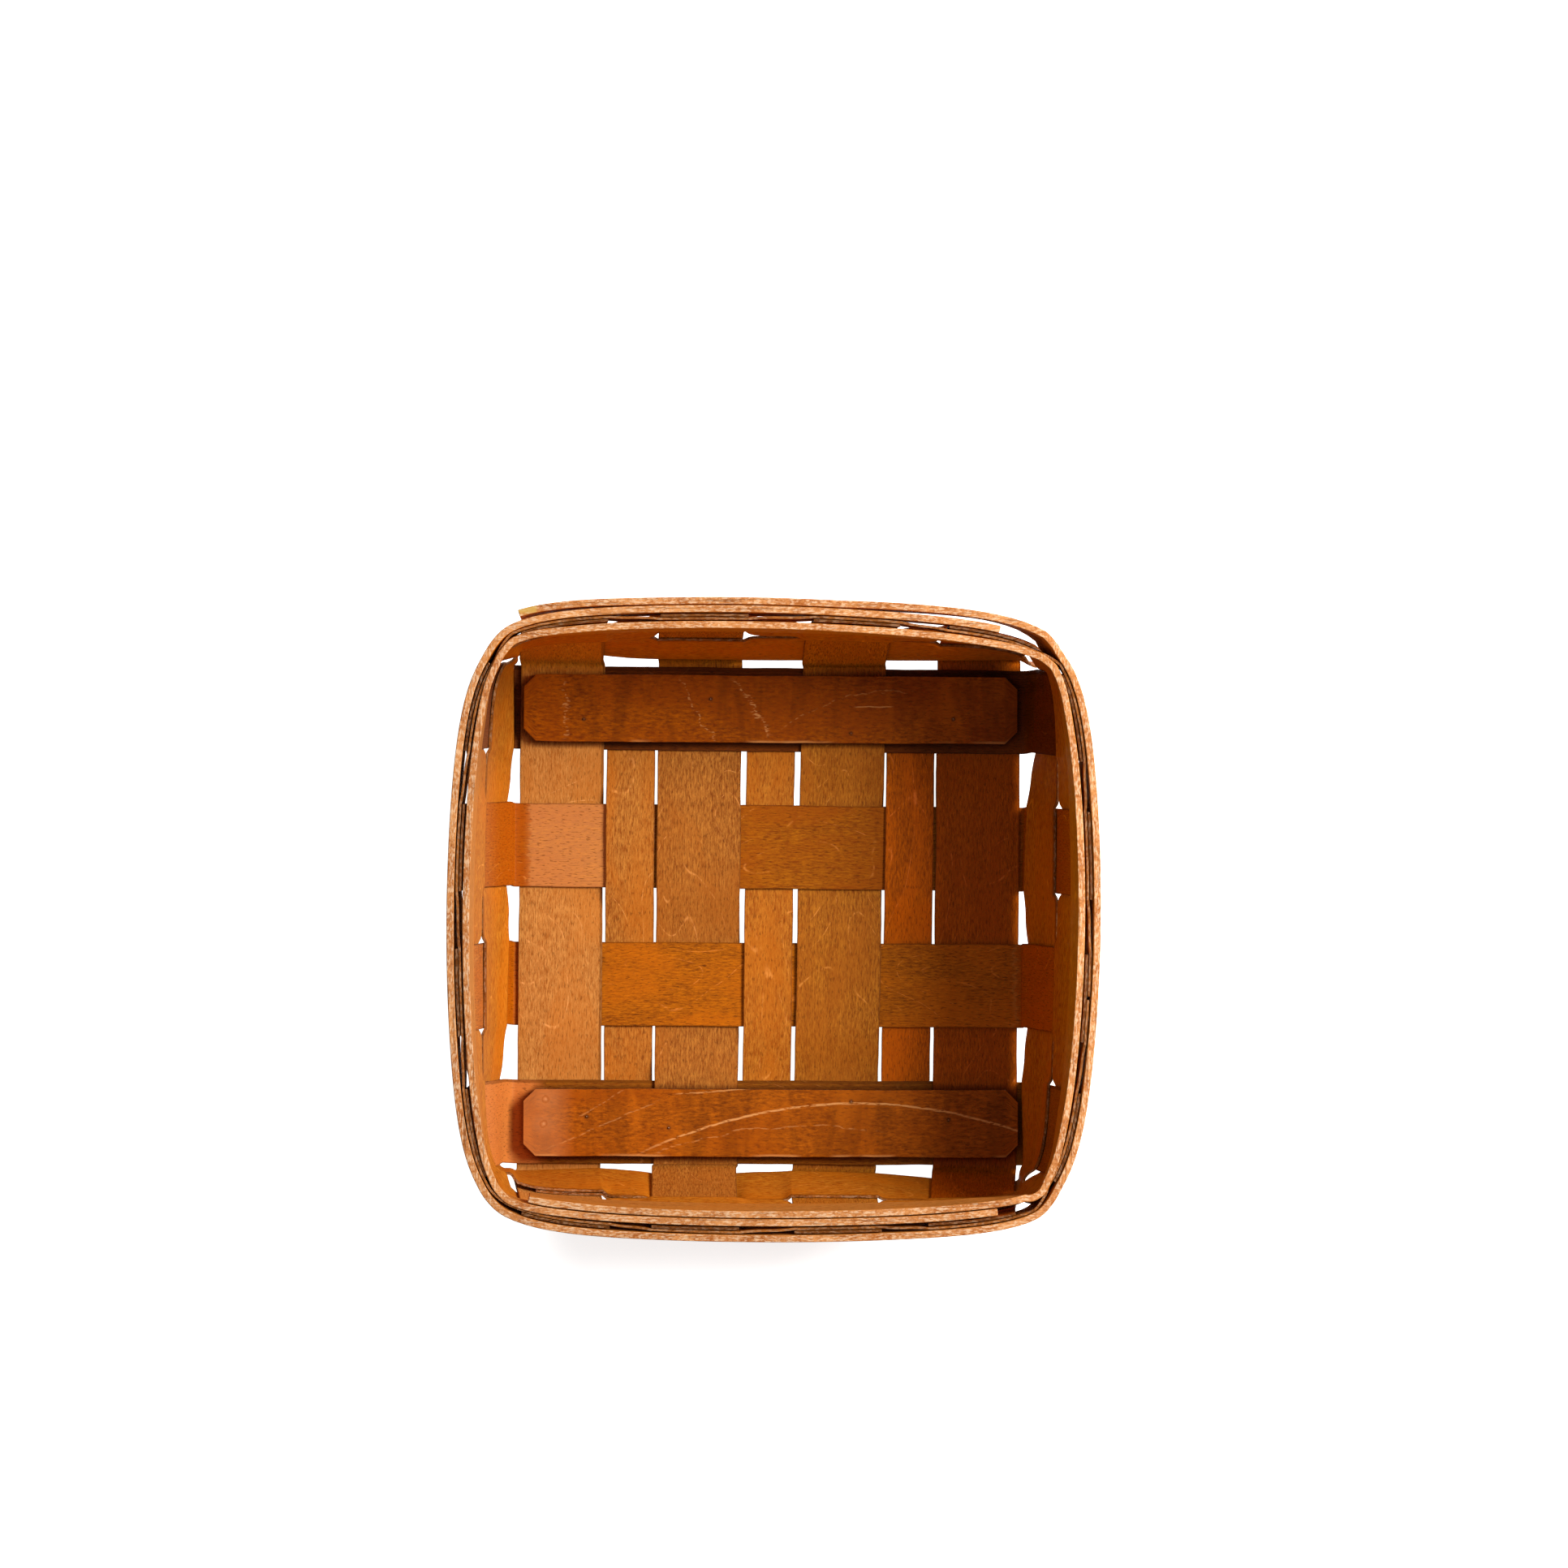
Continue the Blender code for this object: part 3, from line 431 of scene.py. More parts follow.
def lean_of(side, outer):
    if not outer:
        return 0.0
    shares = {BACK: BACK_LEAN_SHARE, FRONT: FRONT_LEAN_SHARE}
    return shares.get(side, SIDE_LEAN_SHARE) * WIDE


def long_upright(index, side):
    over = LONG_OVER[index][0 if side == BACK else 3]
    lift = LIFT if over else -LIFT
    lean = lean_of(side, index in (0, 3))
    return Upright(side, LONG_PLACES[index], LONG_SLOPES[index], over, lift, lean)


def cross_upright(index, side):
    covering = LONG_OVER[3 if side == RIGHT else 0][index]
    lean = lean_of(side, index in (0, 3))
    return Upright(side, CROSS_PLACES[index], CROSS_SLOPES[index], not covering, 0.0, lean)


long_ends = {(index, side): long_upright(index, side) for index in range(4) for side in (BACK, FRONT)}
cross_ends = {(index, side): cross_upright(index, side) for index in range(4) for side in (LEFT, RIGHT)}


def side_uprights(side):
    ends = long_ends if side in (BACK, FRONT) else cross_ends
    found = [upright for (index, place), upright in ends.items() if place == side]
    return sorted(found, key=lambda upright: upright.lateral(FOOT_Z))


def upright_edges(upright, bottom, top):
    edges = [upright.lateral(z, share) for z in (bottom, top) for share in (-0.5, 0.5)]
    return min(edges) - CLEARANCE, max(edges) + CLEARANCE


def span_of(side):
    uprights = side_uprights(side)
    first = upright_edges(uprights[0], FOOT_Z, RIM_Z)
    last = upright_edges(uprights[-1], FOOT_Z, RIM_Z)
    return first[0], last[1]


side_spans = [span_of(side) for side in range(4)]


# Building tools


def wobble(seed, along, scale):
    """A smooth irregularity between about -1 and 1."""
    return 2 * noise.noise(Vector((along * scale, seed * SEED_STEPS[0], seed * SEED_STEPS[1])))


def roughened(rows, seed, edge_amount, face_amount):
    """Make the edges of a strip a little uneven and its face a little wavy."""
    lengths = [0.0]
    middle = len(rows[0]) // 2
    for before, after in zip(rows, rows[1:]):
        lengths.append(lengths[-1] + (after[middle] - before[middle]).length)
    widths = [0.0]
    for before, after in zip(rows[0], rows[0][1:]):
        widths.append(widths[-1] + (after - before).length)
    uneven = []
    for number, row in enumerate(rows):
        along = lengths[number]
        ahead = rows[min(number + 1, len(rows) - 1)]
        behind = rows[max(number - 1, 0)]
        low = wobble(seed, along, EDGE_WAVES) + NICK_SHARE * wobble(seed + 1, along, EDGE_NICKS)
        high = wobble(seed + 2, along, EDGE_WAVES) + NICK_SHARE * wobble(seed + 3, along, EDGE_NICKS)
        low, high = edge_amount * low, edge_amount * high
        out = []
        for column, point in enumerate(row):
            share = column / (len(row) - 1)
            left = row[max(column - 1, 0)]
            right = row[min(column + 1, len(row) - 1)]
            across = (right - left).normalized()
            normal = across.cross(ahead[column] - behind[column]).normalized()
            waves = (along * FACE_WAVES_ALONG, widths[column] * FACE_WAVES_ACROSS, seed * SEED_STEPS[2])
            lift = face_amount * 2 * noise.noise(Vector(waves))
            out.append(point + across * mix(low, high, share) + normal * lift)
        uneven.append(out)
    return uneven, lengths, widths


def ribbon(name, rows, thickness, face, edge, seed, ending="_grained", wear=SPLINT_WEAR):
    """A strip of wood through rows of points, with its length and width as its UV map."""
    edge_amount, face_amount, rounding = wear
    rows, lengths, widths = roughened(rows, seed, edge_amount, face_amount)
    long_count = len(rows) - 1
    wide_count = len(rows[0]) - 1
    bm = bmesh.new()
    bmesh.ops.create_grid(bm, x_segments=long_count, y_segments=wide_count, size=0.5)
    uv_layer = bm.loops.layers.uv.new("grain")
    places = {}
    for vert in bm.verts:
        row = round((vert.co.x + 0.5) * long_count)
        column = round((vert.co.y + 0.5) * wide_count)
        places[vert] = (lengths[row] + seed * GRAIN_SHIFT_ALONG, widths[column] + seed * GRAIN_SHIFT_ACROSS)
        vert.co = rows[row][column] + SHIFT
    for bm_face in bm.faces:
        for loop in bm_face.loops:
            loop[uv_layer].uv = places[loop.vert]
    mesh = bpy.data.meshes.new(name + ending)
    bm.to_mesh(mesh)
    bm.free()
    mesh.materials.append(face)
    mesh.materials.append(edge)
    mesh.shade_smooth()
    made = bpy.data.objects.new(name + ending, mesh)
    bpy.context.scene.collection.objects.link(made)
    solid = made.modifiers.new("thickness", "SOLIDIFY")
    solid.thickness = thickness
    solid.offset = 0
    solid.use_even_offset = True
    solid.material_offset_rim = 1
    round_off = made.modifiers.new("worn_edges", "BEVEL")
    round_off.width = rounding
    round_off.segments = 2
    round_off.profile = 0.5
    round_off.limit_method = "ANGLE"
    round_off.angle_limit = WORN_ANGLE
    round_off.harden_normals = True
    round_off.material = -1
    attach(made, "root")
    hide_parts(name)
    return made


def spaced(start, end, step):
    """Even places from start to end, no further apart than a step."""
    count = max(1, math.ceil(abs(end - start) / step))
    return [mix(start, end, number / count) for number in range(count + 1)]


# Splints


def cross_line(index, across):
    return CROSS_PLACES[index] + CROSS_SLOPES[index] * across


def base_stations(place, slope, over, first_end, last_end):
    """Places along a splint of the base with its lift there, over or under the cross splints."""
    spans = []
    for index in reversed(range(4)):
        middle = cross_line(index, place + slope * CROSS_PLACES[index])
        reach = PLATEAU + abs(CROSS_SLOPES[index]) * WIDE / 2
        spans.append((middle - reach, middle + reach, LIFT if over[index] else -LIFT))
    spans[0] = (first_end, *spans[0][1:])
    spans[-1] = (spans[-1][0], last_end, spans[-1][2])
    stations = []
    for start, end, lift in spans:
        if stations:
            ramp_start, old_lift = stations[-1]
            for step in range(1, RAMP_STEPS):
                share = step / RAMP_STEPS
                stations.append((mix(ramp_start, start, share), mix(old_lift, lift, smooth(share))))
        stations += [(along, lift) for along in spaced(start, end, STEP)]
    return stations


def bend_point(start, outward, end, climb, share):
    first_handle = start + outward * (end - start).dot(outward) * BEND_HANDLE_SHARE
    last_handle = end - climb * (end.z - start.z) * BEND_HANDLE_SHARE
    return bezier(start, first_handle, last_handle, end, share)


def wall_rows(upright, base_point, shares):
    """The rows of a splint from the bend at the base to the top of the wall."""
    outward = SIDES[upright.side][0]
    rows = []
    for step in range(1, BEND_STEPS):
        row = []
        for share in shares:
            end = upright.point(share, FOOT_Z)
            climb = upright.point(share, FOOT_Z + NUDGE) - end
            row.append(bend_point(base_point(share), outward, end, climb / climb.z, step / BEND_STEPS))
        rows.append(row)
    for z in spaced(FOOT_Z, SPLINT_END, STEP):
        rows.append([upright.point(share, z) for share in shares])
    return rows


def long_splint(index, face, edge, seed):
    place = LONG_PLACES[index]
    slope = LONG_SLOPES[index]
    front = long_ends[index, FRONT]
    back = long_ends[index, BACK]
    shares = COLUMN_SHARES

    def at(along, lift):
        return [Vector((place + slope * along + share * WIDE, along, BASE_Z + lift)) for share in shares]

    front_end = BASE_HALF_Y - (BEND_LEAD if front.inside else 0)
    back_end = BASE_HALF_Y - (BEND_LEAD if back.inside else 0)
    stations = base_stations(place, slope, LONG_OVER[index], -front_end, back_end)
    base = [at(along, lift) for along, lift in stations]
    front_rows = wall_rows(front, lambda share: base[0][shares.index(share)], shares)
    back_rows = wall_rows(back, lambda share: base[-1][shares.index(share)], shares)
    name = "long_splint_" + str(index + 1)
    return ribbon(name, front_rows[::-1] + base + back_rows, SPLINT, face, edge, seed)


def filler_splint(index, face, edge, seed):
    place = FILLER_PLACES[index]
    slope = FILLER_SLOPES[index]
    end = CROSS_EDGE - FILLER_TUCK
    rows = []
    for along, lift in base_stations(place, slope, FILLER_OVER[index], -end, end):
        middle = Vector((place + slope * along, along, BASE_Z + lift))
        rows.append([middle + Vector((share * NARROW, 0, 0)) for share in NARROW_SHARES])
    name = "filler_splint_" + str(index + 1)
    return ribbon(name, rows, SPLINT, face, edge, seed)


def cross_splint(index, face, edge, seed):
    left = cross_ends[index, LEFT]
    right = cross_ends[index, RIGHT]
    shares = COLUMN_SHARES

    def at(along):
        return [Vector((along, cross_line(index, along) + share * WIDE, BASE_Z)) for share in shares]

    base = [at(along) for along in spaced(-BASE_HALF_X, BASE_HALF_X, STEP)]
    left_rows = wall_rows(left, lambda share: base[0][shares.index(share)], shares)
    right_rows = wall_rows(right, lambda share: base[-1][shares.index(share)], shares)
    name = "cross_splint_" + str(index + 1)
    return ribbon(name, left_rows[::-1] + base + right_rows, SPLINT, face, edge, seed)


# Weavers


class Visit:
    """A weaver passing one upright, outside it or inside."""

    def __init__(self, upright, turn, outside):
        self.upright = upright
        self.turn = turn
        self.outside = outside
        self.extra = 0.0

    def offset(self, z):
        lift = LIFT if self.outside else -LIFT
        return self.upright.push(z) + lift + self.extra

    def place(self, share, z):
        lateral = self.upright.lateral(z, self.upright.mirror * share)
        return ring_place(self.upright.side, lateral) + 4 * self.turn

    def shares(self):
        return [-0.5 - WEAVE_MARGIN_SHARE, *COLUMN_SHARES, 0.5 + WEAVE_MARGIN_SHARE]


def weaver_visits(first, count, level):
    ring = [upright for side in range(4) for upright in side_uprights(side)]
    visits = []
    for number in range(first, first + count):
        upright = ring[number % len(ring)]
        outside = upright.inside if level != UPPER else not upright.inside
        visits.append(Visit(upright, number // len(ring), outside))
    return visits


def lay_laps(outer_ply, inner_ply):
    """Set apart the two ends of a weaver where they lap."""
    for visit in outer_ply:
        visit.extra = LIFT if visit.outside else 0.0
    for visit in inner_ply:
        visit.extra = 0.0 if visit.outside else -LIFT


def shell_row(levels, place_at, offset_at, ease=0):
    row = []
    for z in levels:
        place = place_at(z)
        point = mix(ring_point(place, z), eased_point(place, z), ease)
        row.append(point + ring_normal(place, z) * offset_at(z))
    return row


def foot_rises(visit):
    return FOOT_RISES[visit.upright.side][side_uprights(visit.upright.side).index(visit.upright)]


def shifted(levels, rise):
    """The heights of a lower weaver's row whose foot stands higher or lower."""
    if levels[-1] > UPPER_FOOT:
        return levels
    return [mix(levels[0] + rise, levels[-1], number / (len(levels) - 1)) for number in range(len(levels))]


def crossing_rows(visit, start_share, end_share, levels):
    inner = [share for share in visit.shares() if start_share < share < end_share]
    shares = [max(start_share, visit.shares()[0]), *inner, min(end_share, visit.shares()[-1])]
    rows = []
    for share in sorted(set(shares)):
        own = shifted(levels, mix(*foot_rises(visit), share + 0.5))
        rows.append(shell_row(own, lambda z: visit.place(share, z), visit.offset))
    return rows


def crossing_share(step, power):
    """How far a taut weaver has passed over between two uprights: quick at first and last."""
    rest = 1 - 2 * step
    return 0.5 - 0.5 * math.copysign(abs(rest) ** power, rest)


def grown_levels(levels, upright, step):
    """Between two uprights a weaver grows a little towards the other weaver."""
    gap = side_uprights(upright.side).index(upright)
    growth = GAP_GROWTHS[upright.side][gap] * smooth(GROWTH_QUICKNESS * step * (1 - step))
    bottom, top = levels[0], levels[-1]
    if top < UPPER_FOOT:
        top += growth
    elif top < RIM_WEAVER_FOOT:
        bottom -= growth
    return [mix(bottom, top, number / (len(levels) - 1)) for number in range(len(levels))]


def free_rows(visit, following, levels, cuts, level):
    """The rows of a weaver between two uprights, or round a corner."""
    corner = visit.upright.side != following.upright.side
    rows = []
    count = CORNER_STEPS if corner else WEAVER_RAMP_STEPS
    for number in range(1, count):
        step = number / count
        dip = 4 * step * (1 - step) if corner else 0
        ease = smooth(4 * step * (1 - step)) if corner and level == RIM else 0

        def place_at(z):
            leaving = visit.place(visit.shares()[-1], z)
            return mix(leaving, following.place(following.shares()[0], z), step)

        def offset_at(z):
            height = (z - levels[0]) / (levels[-1] - levels[0])
            power = mix(*RAMP_POWERS[level], min(max(height, 0.0), 1.0))
            passing = smooth(step) if corner else crossing_share(step, power)
            cut = mix(*cuts, height)
            return mix(visit.offset(z), following.offset(z), passing) - dip * cut

        grown = levels if corner else grown_levels(levels, visit.upright, step)
        grown = shifted(grown, mix(foot_rises(visit)[1], foot_rises(following)[0], step))
        rows.append(shell_row(grown, place_at, offset_at, ease))
    return rows


def weaver(name, level, visits, start_share, end_share, cuts, face, edge, seed):
    bottom, top = WEAVER_SPANS[level]
    levels = [mix(bottom, top, number / (WEAVER_COLUMNS - 1)) for number in range(WEAVER_COLUMNS)]
    rows = []
    for visit in visits:
        first = start_share if visit == visits[0] else -1
        last = end_share if visit == visits[-1] else 1
        rows += crossing_rows(visit, first, last, levels)
        if visit != visits[-1]:
            rows += free_rows(visit, visits[visits.index(visit) + 1], levels, cuts, level)
    return ribbon(name, rows, SPLINT, face, edge, seed)


def lower_weaver(face, edge, seed):
    visits = weaver_visits(*LOWER_VISITS, LOWER)
    lay_laps(visits[:2], visits[-2:])
    return weaver("lower_weaver", LOWER, visits, -LAP_END_SHARE, 0, LOWER_CORNER_CUTS, face, edge, seed)


def upper_weaver(face, edge, seed):
    visits = weaver_visits(*UPPER_VISITS, UPPER)
    lay_laps(visits[-2:], visits[:2])
    return weaver("upper_weaver", UPPER, visits, 0, LAP_END_SHARE, UPPER_CORNER_CUTS, face, edge, seed)


def rim_weaver(face, edge, seed):
    visits = weaver_visits(*RIM_VISITS, RIM)
    return weaver("rim_weaver", RIM, visits, BUTT_SHARE, -BUTT_SHARE, RIM_CORNER_CUTS, face, edge, seed)


# Hoops


def corner_share(place):
    """Grows from 0 on a side to 1 about a corner, where the hoops spring."""
    middle = (1 + SIDE_SHARE) / 2
    away = abs((place - middle + 0.5) % 1 - 0.5)
    return smooth(CORNER_SPREAD * (1 - away / (1 - SIDE_SHARE)))


def hoop_row(place, foot_offset, top_offset):
    foot, top = eased_point(place, HOOP_FOOT), eased_point(place, RIM_Z)
    along = eased_point(place + NUDGE_SHARE, RIM_Z) - eased_point(place - NUDGE_SHARE, RIM_Z)
    normal = along.cross(top - foot).normalized()
    shares = [number / HOOP_COLUMNS for number in range(HOOP_COLUMNS + 1)]
    return [mix(foot, top, share) + normal * mix(foot_offset, top_offset, share) for share in shares]


def hoop(name, places, outward, lap, foot_lap, face, edge, seed):
    """A bent hoop: outward is 1 outside the shell and -1 inside, and the laps add to that."""
    rows = []
    for place in places:
        spring = OUTER_SPRING if outward > 0 else INNER_SPRING
        tilt = corner_share(place) * (OUTER_TILT if outward > 0 else -INNER_TILT)
        offset = outward * HOOP_OFFSET + spring * corner_share(place)
        rows.append(hoop_row(place, offset - tilt + foot_lap(place), offset + lap(place)))
    return ribbon(name, rows, HOOP_THICK - CLEARANCE / 3, face, edge, seed, wear=HOOP_WEAR)


def hoop_places(start, end):
    places = {start, end}
    for side in range(math.floor(start), math.floor(end) + 1):
        places |= {side + number / HOOP_STEPS for number in range(HOOP_STEPS)}
        places |= {side + mix(SIDE_SHARE, 1, number / CORNER_STEPS) for number in range(CORNER_STEPS)}
        places |= {side + share for share in HOOP_CLOSE_SHARES}
    return sorted({round(place, 6) for place in places if start <= place <= end})


def outer_hoop(face, edge, seed):
    start = ring_place(BACK, -HOOP_BURIED_REACH)
    end = ring_place(BACK, HOOP_FREE_REACH) + 4
    climb_start = 4 - CLIMB_SHARE
    climb_end = start + 4 - LAP_CLEAR_SHARE
    spring_start = ring_place(BACK, HOOP_FREE_REACH - TAIL_SPRING_RUN) + 4
    bow_end = ring_place(BACK, -LAP_BOW_END) + 4

    def climbed(place, delay):
        begin = mix(climb_start, climb_end, delay)
        return HOOP_PLY * smooth((place - begin) / (climb_end - begin))

    def free(place):
        spring = TAIL_SPRING * max((place - spring_start) / (end - spring_start), 0.0) ** 2
        bow = min(max((place - climb_start) / (bow_end - climb_start), 0.0), 1.0)
        return spring + LAP_BOW * 4 * bow * (1 - bow)

    return hoop("outer_hoop", hoop_places(start, end), 1, lambda place: climbed(place, 0) + free(place),
                lambda place: climbed(place, FOOT_DELAY) + free(place), face, edge, seed)


def inner_hoop(face, edge, seed):
    start = ring_place(FRONT, -HOOP_FREE_REACH)
    end = ring_place(FRONT, HOOP_BURIED_REACH) + 4
    lap_end = end - 4 + LAP_CLEAR_SHARE
    landing = RIGHT - LAND_SHARE

    def lap(place, delay):
        finish = mix(landing, lap_end, delay)
        return -HOOP_PLY * (1 - smooth((place - lap_end) / (finish - lap_end)))

    return hoop("inner_hoop", hoop_places(start, end), -1, lambda place: lap(place, 0),
                lambda place: lap(place, FOOT_DELAY), face, edge, seed)


# Cleats and tacks


def cleat(name, row, face, edge, seed):
    """A flat slat with chamfered corners, turned to lie along its cross splint."""
    half = CLEAT_LENGTH / 2
    stations = [-half, *spaced(-half + CLEAT_CHAMFER, half - CLEAT_CHAMFER, STEP), half]
    spin = Matrix.Rotation(math.atan(CLEAT_SLOPES[row]), 3, "Z")
    middle = Vector((CLEAT_SHIFT, CROSS_PLACES[row], CLEAT_Z + CLEAT_THICK / 2))
    rows = []
    for along in stations:
        cut = CLEAT_CHAMFER if abs(along) == half else 0
        width = CLEAT_WIDTH - 2 * cut
        rows.append([middle + spin @ Vector((along, share * width, 0)) for share in COLUMN_SHARES])
    return ribbon(name, rows, CLEAT_THICK, face, edge, seed, "_figured", CLEAT_WEAR)


def tack(name, place, direction, profile, face):
    """A round tack turned from a profile of radius and height."""
    bm = bmesh.new()
    verts = [bm.verts.new((radius, 0, height)) for radius, height in profile]
    edges = [bm.edges.new(pair) for pair in zip(verts, verts[1:])]
    bmesh.ops.spin(bm, geom=verts + edges, cent=(0, 0, 0), axis=(0, 0, 1), angle=2 * math.pi,
                   steps=TACK_SIDES, use_merge=True)
    bmesh.ops.remove_doubles(bm, verts=bm.verts, dist=NUDGE / 10)
    bmesh.ops.recalc_face_normals(bm, faces=bm.faces)
    turn = direction.to_track_quat("Z", "Y").to_matrix()
    for vert in bm.verts:
        vert.co = turn @ vert.co + place + SHIFT
    mesh = bpy.data.meshes.new(name + "_turned")
    bm.to_mesh(mesh)
    bm.free()
    mesh.shade_smooth()
    mesh.set_sharp_from_angle(angle=SHARP_ANGLE)
    mesh.materials.append(face)
    made = bpy.data.objects.new(name + "_turned", mesh)
    bpy.context.scene.collection.objects.link(made)
    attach(made, "root")
    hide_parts(name)


def cleat_tack_places():
    """Where the heads of the cleat tacks lie, under the lowest splint at each."""
    places = []
    for row, shares in ((0, BACK_TACK_SHARES), (3, FRONT_TACK_SHARES)):
        for index, (across_share, along_share) in enumerate(shares):
            along = CROSS_PLACES[row] + along_share * CLEAT_WIDTH
            across = LONG_PLACES[index] + LONG_SLOPES[index] * along + across_share * WIDE
            lowest = BASE_Z - SPLINT / 2 - (0 if LONG_OVER[index][row] else LIFT)
            places.append(Vector((across, along, lowest - CLEARANCE - TACK_HEAD_THICK)))
    return places


def tack_profile(head, neck, point, length):
    """Radius and height of each turn of a tack, from the middle of its head to its tip."""
    cap = TACK_HEAD / 2
    shank = TACK_SHANK / 2
    profile = [(cap * share, height) for share, height in head]
    profile += [(shank * share, height) for share, height in neck]
    profile += [(shank * share, length - short) for share, short in point]
    return [(0, 0), *profile, (0, length)]


def cleat_tacks(face):
    for number, place in enumerate(cleat_tack_places()):
        tip = CLEAT_Z + CLEAT_THICK + TACK_TIP - place.z
        profile = tack_profile(CLEAT_TACK_HEAD, CLEAT_TACK_NECK, CLEAT_TACK_POINT, tip)
        tack("cleat_tack_" + str(number + 1), place, Vector((0, 0, 1)), profile, face)


def rim_tacks(face):
    number = 0
    middle = (HOOP_FOOT + RIM_Z) / 2
    for side in range(4):
        for upright in side_uprights(side)[1:3]:
            number += 1
            lateral = upright.lateral(middle)
            normal = side_normal(side, lateral, middle)
            outer = HOOP_OFFSET + HOOP_THICK / 2 + (HOOP_PLY if side == BACK else 0)
            inner = HOOP_OFFSET + HOOP_THICK / 2 + (HOOP_PLY if side == FRONT else 0)
            head = side_point(side, lateral, middle) + normal * (outer - TACK_SINK)
            length = outer + inner - RIM_TACK_STOP
            profile = tack_profile(RIM_TACK_HEAD, RIM_TACK_NECK, RIM_TACK_POINT, length)
            tack("rim_tack_" + str(number), head, -normal, profile, face)


# Materials

SHEEN = 0.07

# Flecks: how many to a metre along, across and deep, then their detail, roughness and warp
STREAKS = (7, 200, 1, 3.0, 0.55, 0.0)
RIPPLES = (130, 330, 1, 2.0, 0.6, 0.0)
FIBRES = (300, 1500, 1, 3.0, 0.75, 0.0)
STAINS = (22, 48, 1, 2.0, 0.5, 0.6)
PORES = (420, 1900, 1, 1.0, 0.5, 0.0)
CONTOURS = (16, 34, 1, 1.0, 0.4, 0.2)
LINE_BREAKS = (160, 420, 1, 3.0, 0.7, 0.0)
LINE_PATCHES = (40.0, 1.0)
WAVY_FRONT = (60, 420, 1, 3.0, 0.6, 0.0)
CUT_BANDS = (60, 1, 1, 3.0, 0.6, 0.0)
CUT_SPECKS = (900.0, 3.0, 0.7)
TICKS_ALONG_X = (420, 1700, 400, 2.0, 0.6, 0.0)
TICKS_ALONG_Y = (1700, 420, 400, 2.0, 0.6, 0.0)
TICK_PATCHES = (300.0, 2.0, 0.5)
DARK_ALONG_X = (45, 1500, 200, 2.0, 0.6, 0.0)
DARK_ALONG_Y = (1500, 45, 200, 2.0, 0.6, 0.0)
CROSS_FIGURE = (85, 18, 1, 3.0, 0.6, 0.8)
BRIGHT_FIGURE = (60, 30, 1, 2.0, 0.6, 0.6)
EDGE_HIGHLIGHT_PATCHES = (30, 30, 1, 2.0, 0.6, 0.0)
LINE_FIBRES = (260, 1500, 1, 2.0, 0.6, 0.0)
KNOT_WAVER = (700.0, 2.0)
RUST_PATCHES = (900.0, 3.0, 0.6)

# The figure of a face: weights of its parts, and where each mask starts and is full
STREAK_WEIGHT = 0.30
RIPPLE_WEIGHT = 0.30
FIBRE_WEIGHT = 1.60
TONE_RANGE = (0.83, 1.37)
STAIN_RANGE = (0.38, 0.66)
PORE_RANGE = (0.57, 0.70)
LINES_PER_CONTOUR = 9.0
LINE_RANGE = (0.042, 0.0)
LINE_BREAK_RANGE = (0.44, 0.62)
LINE_PATCH_RANGE = (0.42, 0.56)
PORE_DEPTH = -0.5
RIPPLE_HEIGHT = 0.5

# A face: how strongly each mask shows, and how far from the edge the painted shade reaches
STAIN_SHARE = 0.6
PORE_SHARE = 0.52
LINE_SHARE = 0.70
EDGE_SHADE_SHARE = 0.55
EDGE_SHADE_START = 0.0006
EDGE_SHADE_FULL = 0.0001
DEEP_SHARE = 0.42
BRIGHT_GAIN = 1.40
BRIGHT_LIFT = 0.03
FACE_ROUGHNESS = (0.56, 0.40)
FACE_RELIEF = (0.35, 0.00012)

# The warm band of painted light where a cross splint bends up, with a painted sheen on its front
BEND_START = (0.0895, 0.0960)
BEND_STOP = (0.1190, 0.0990)
BEND_WAVER = 0.007
BEND_SHARE = 0.60
BEND_FRONT_SHARPNESS = 4.0
BEND_FRONT_SHARE = 0.12

# Painted light and shade on the walls: where each tint starts and is full, and its colour
LEFT_WALL = (-0.102, -0.110)
LEFT_SHEEN_TINT_SHARE = 0.07
LEFT_SHEEN_TINT = (0.90, 0.60, 0.36, 1)
RIGHT_WALL = (0.088, 0.100)
RIGHT_SHADE_TINT = (1.05, 0.94, 0.25, 1)
RIGHT_RIM = (0.105, 0.109)
RIGHT_RIM_LIGHT_TINT = (1.16, 1.30, 0.50, 1)
SHADY_CORNER_X = (-0.0975, -0.1020)
SHADY_CORNER_Y = (0.040, 0.062)
SHADY_TINT = (0.79, 0.79, 0.90, 1)
BACK_WALL = (0.088, 0.100)
BACK_WALL_END = (0.088, 0.060)
BACK_LIGHT_TINT = (1.45, 1.25, 0.25, 1)

# The painted shadow on the splints about the cleats
CLEAT_SHADE_REACH = 0.0026
CLEAT_SHADE_SHARE = 0.75
CLEAT_SHADE = (0.30, 0.22, 0.16, 1)
CHAMFER_TURN_SHARE = 0.7

# A cut edge
CUT_SPECK_WEIGHT = 1.2
CUT_TONE_RANGE = (0.86, 1.34)
CORNER_TURN = (-0.020, 0.020)
TICK_RANGE = (0.48, 0.58)
TICK_PATCH_RANGE = (0.30, 0.50)
DARK_RANGE = (0.56, 0.68)
TICK_HEIGHT = 0.6
DARK_SHARE = 0.55
HOOP_END_Y = (0.110, 0.112)
HOOP_END_X = (-0.0855, -0.0868)
HOOP_END_SHARE = 0.7
EDGE_ROUGHNESS = (0.72, 0.58)
EDGE_RELIEF = (0.5, 0.0002)

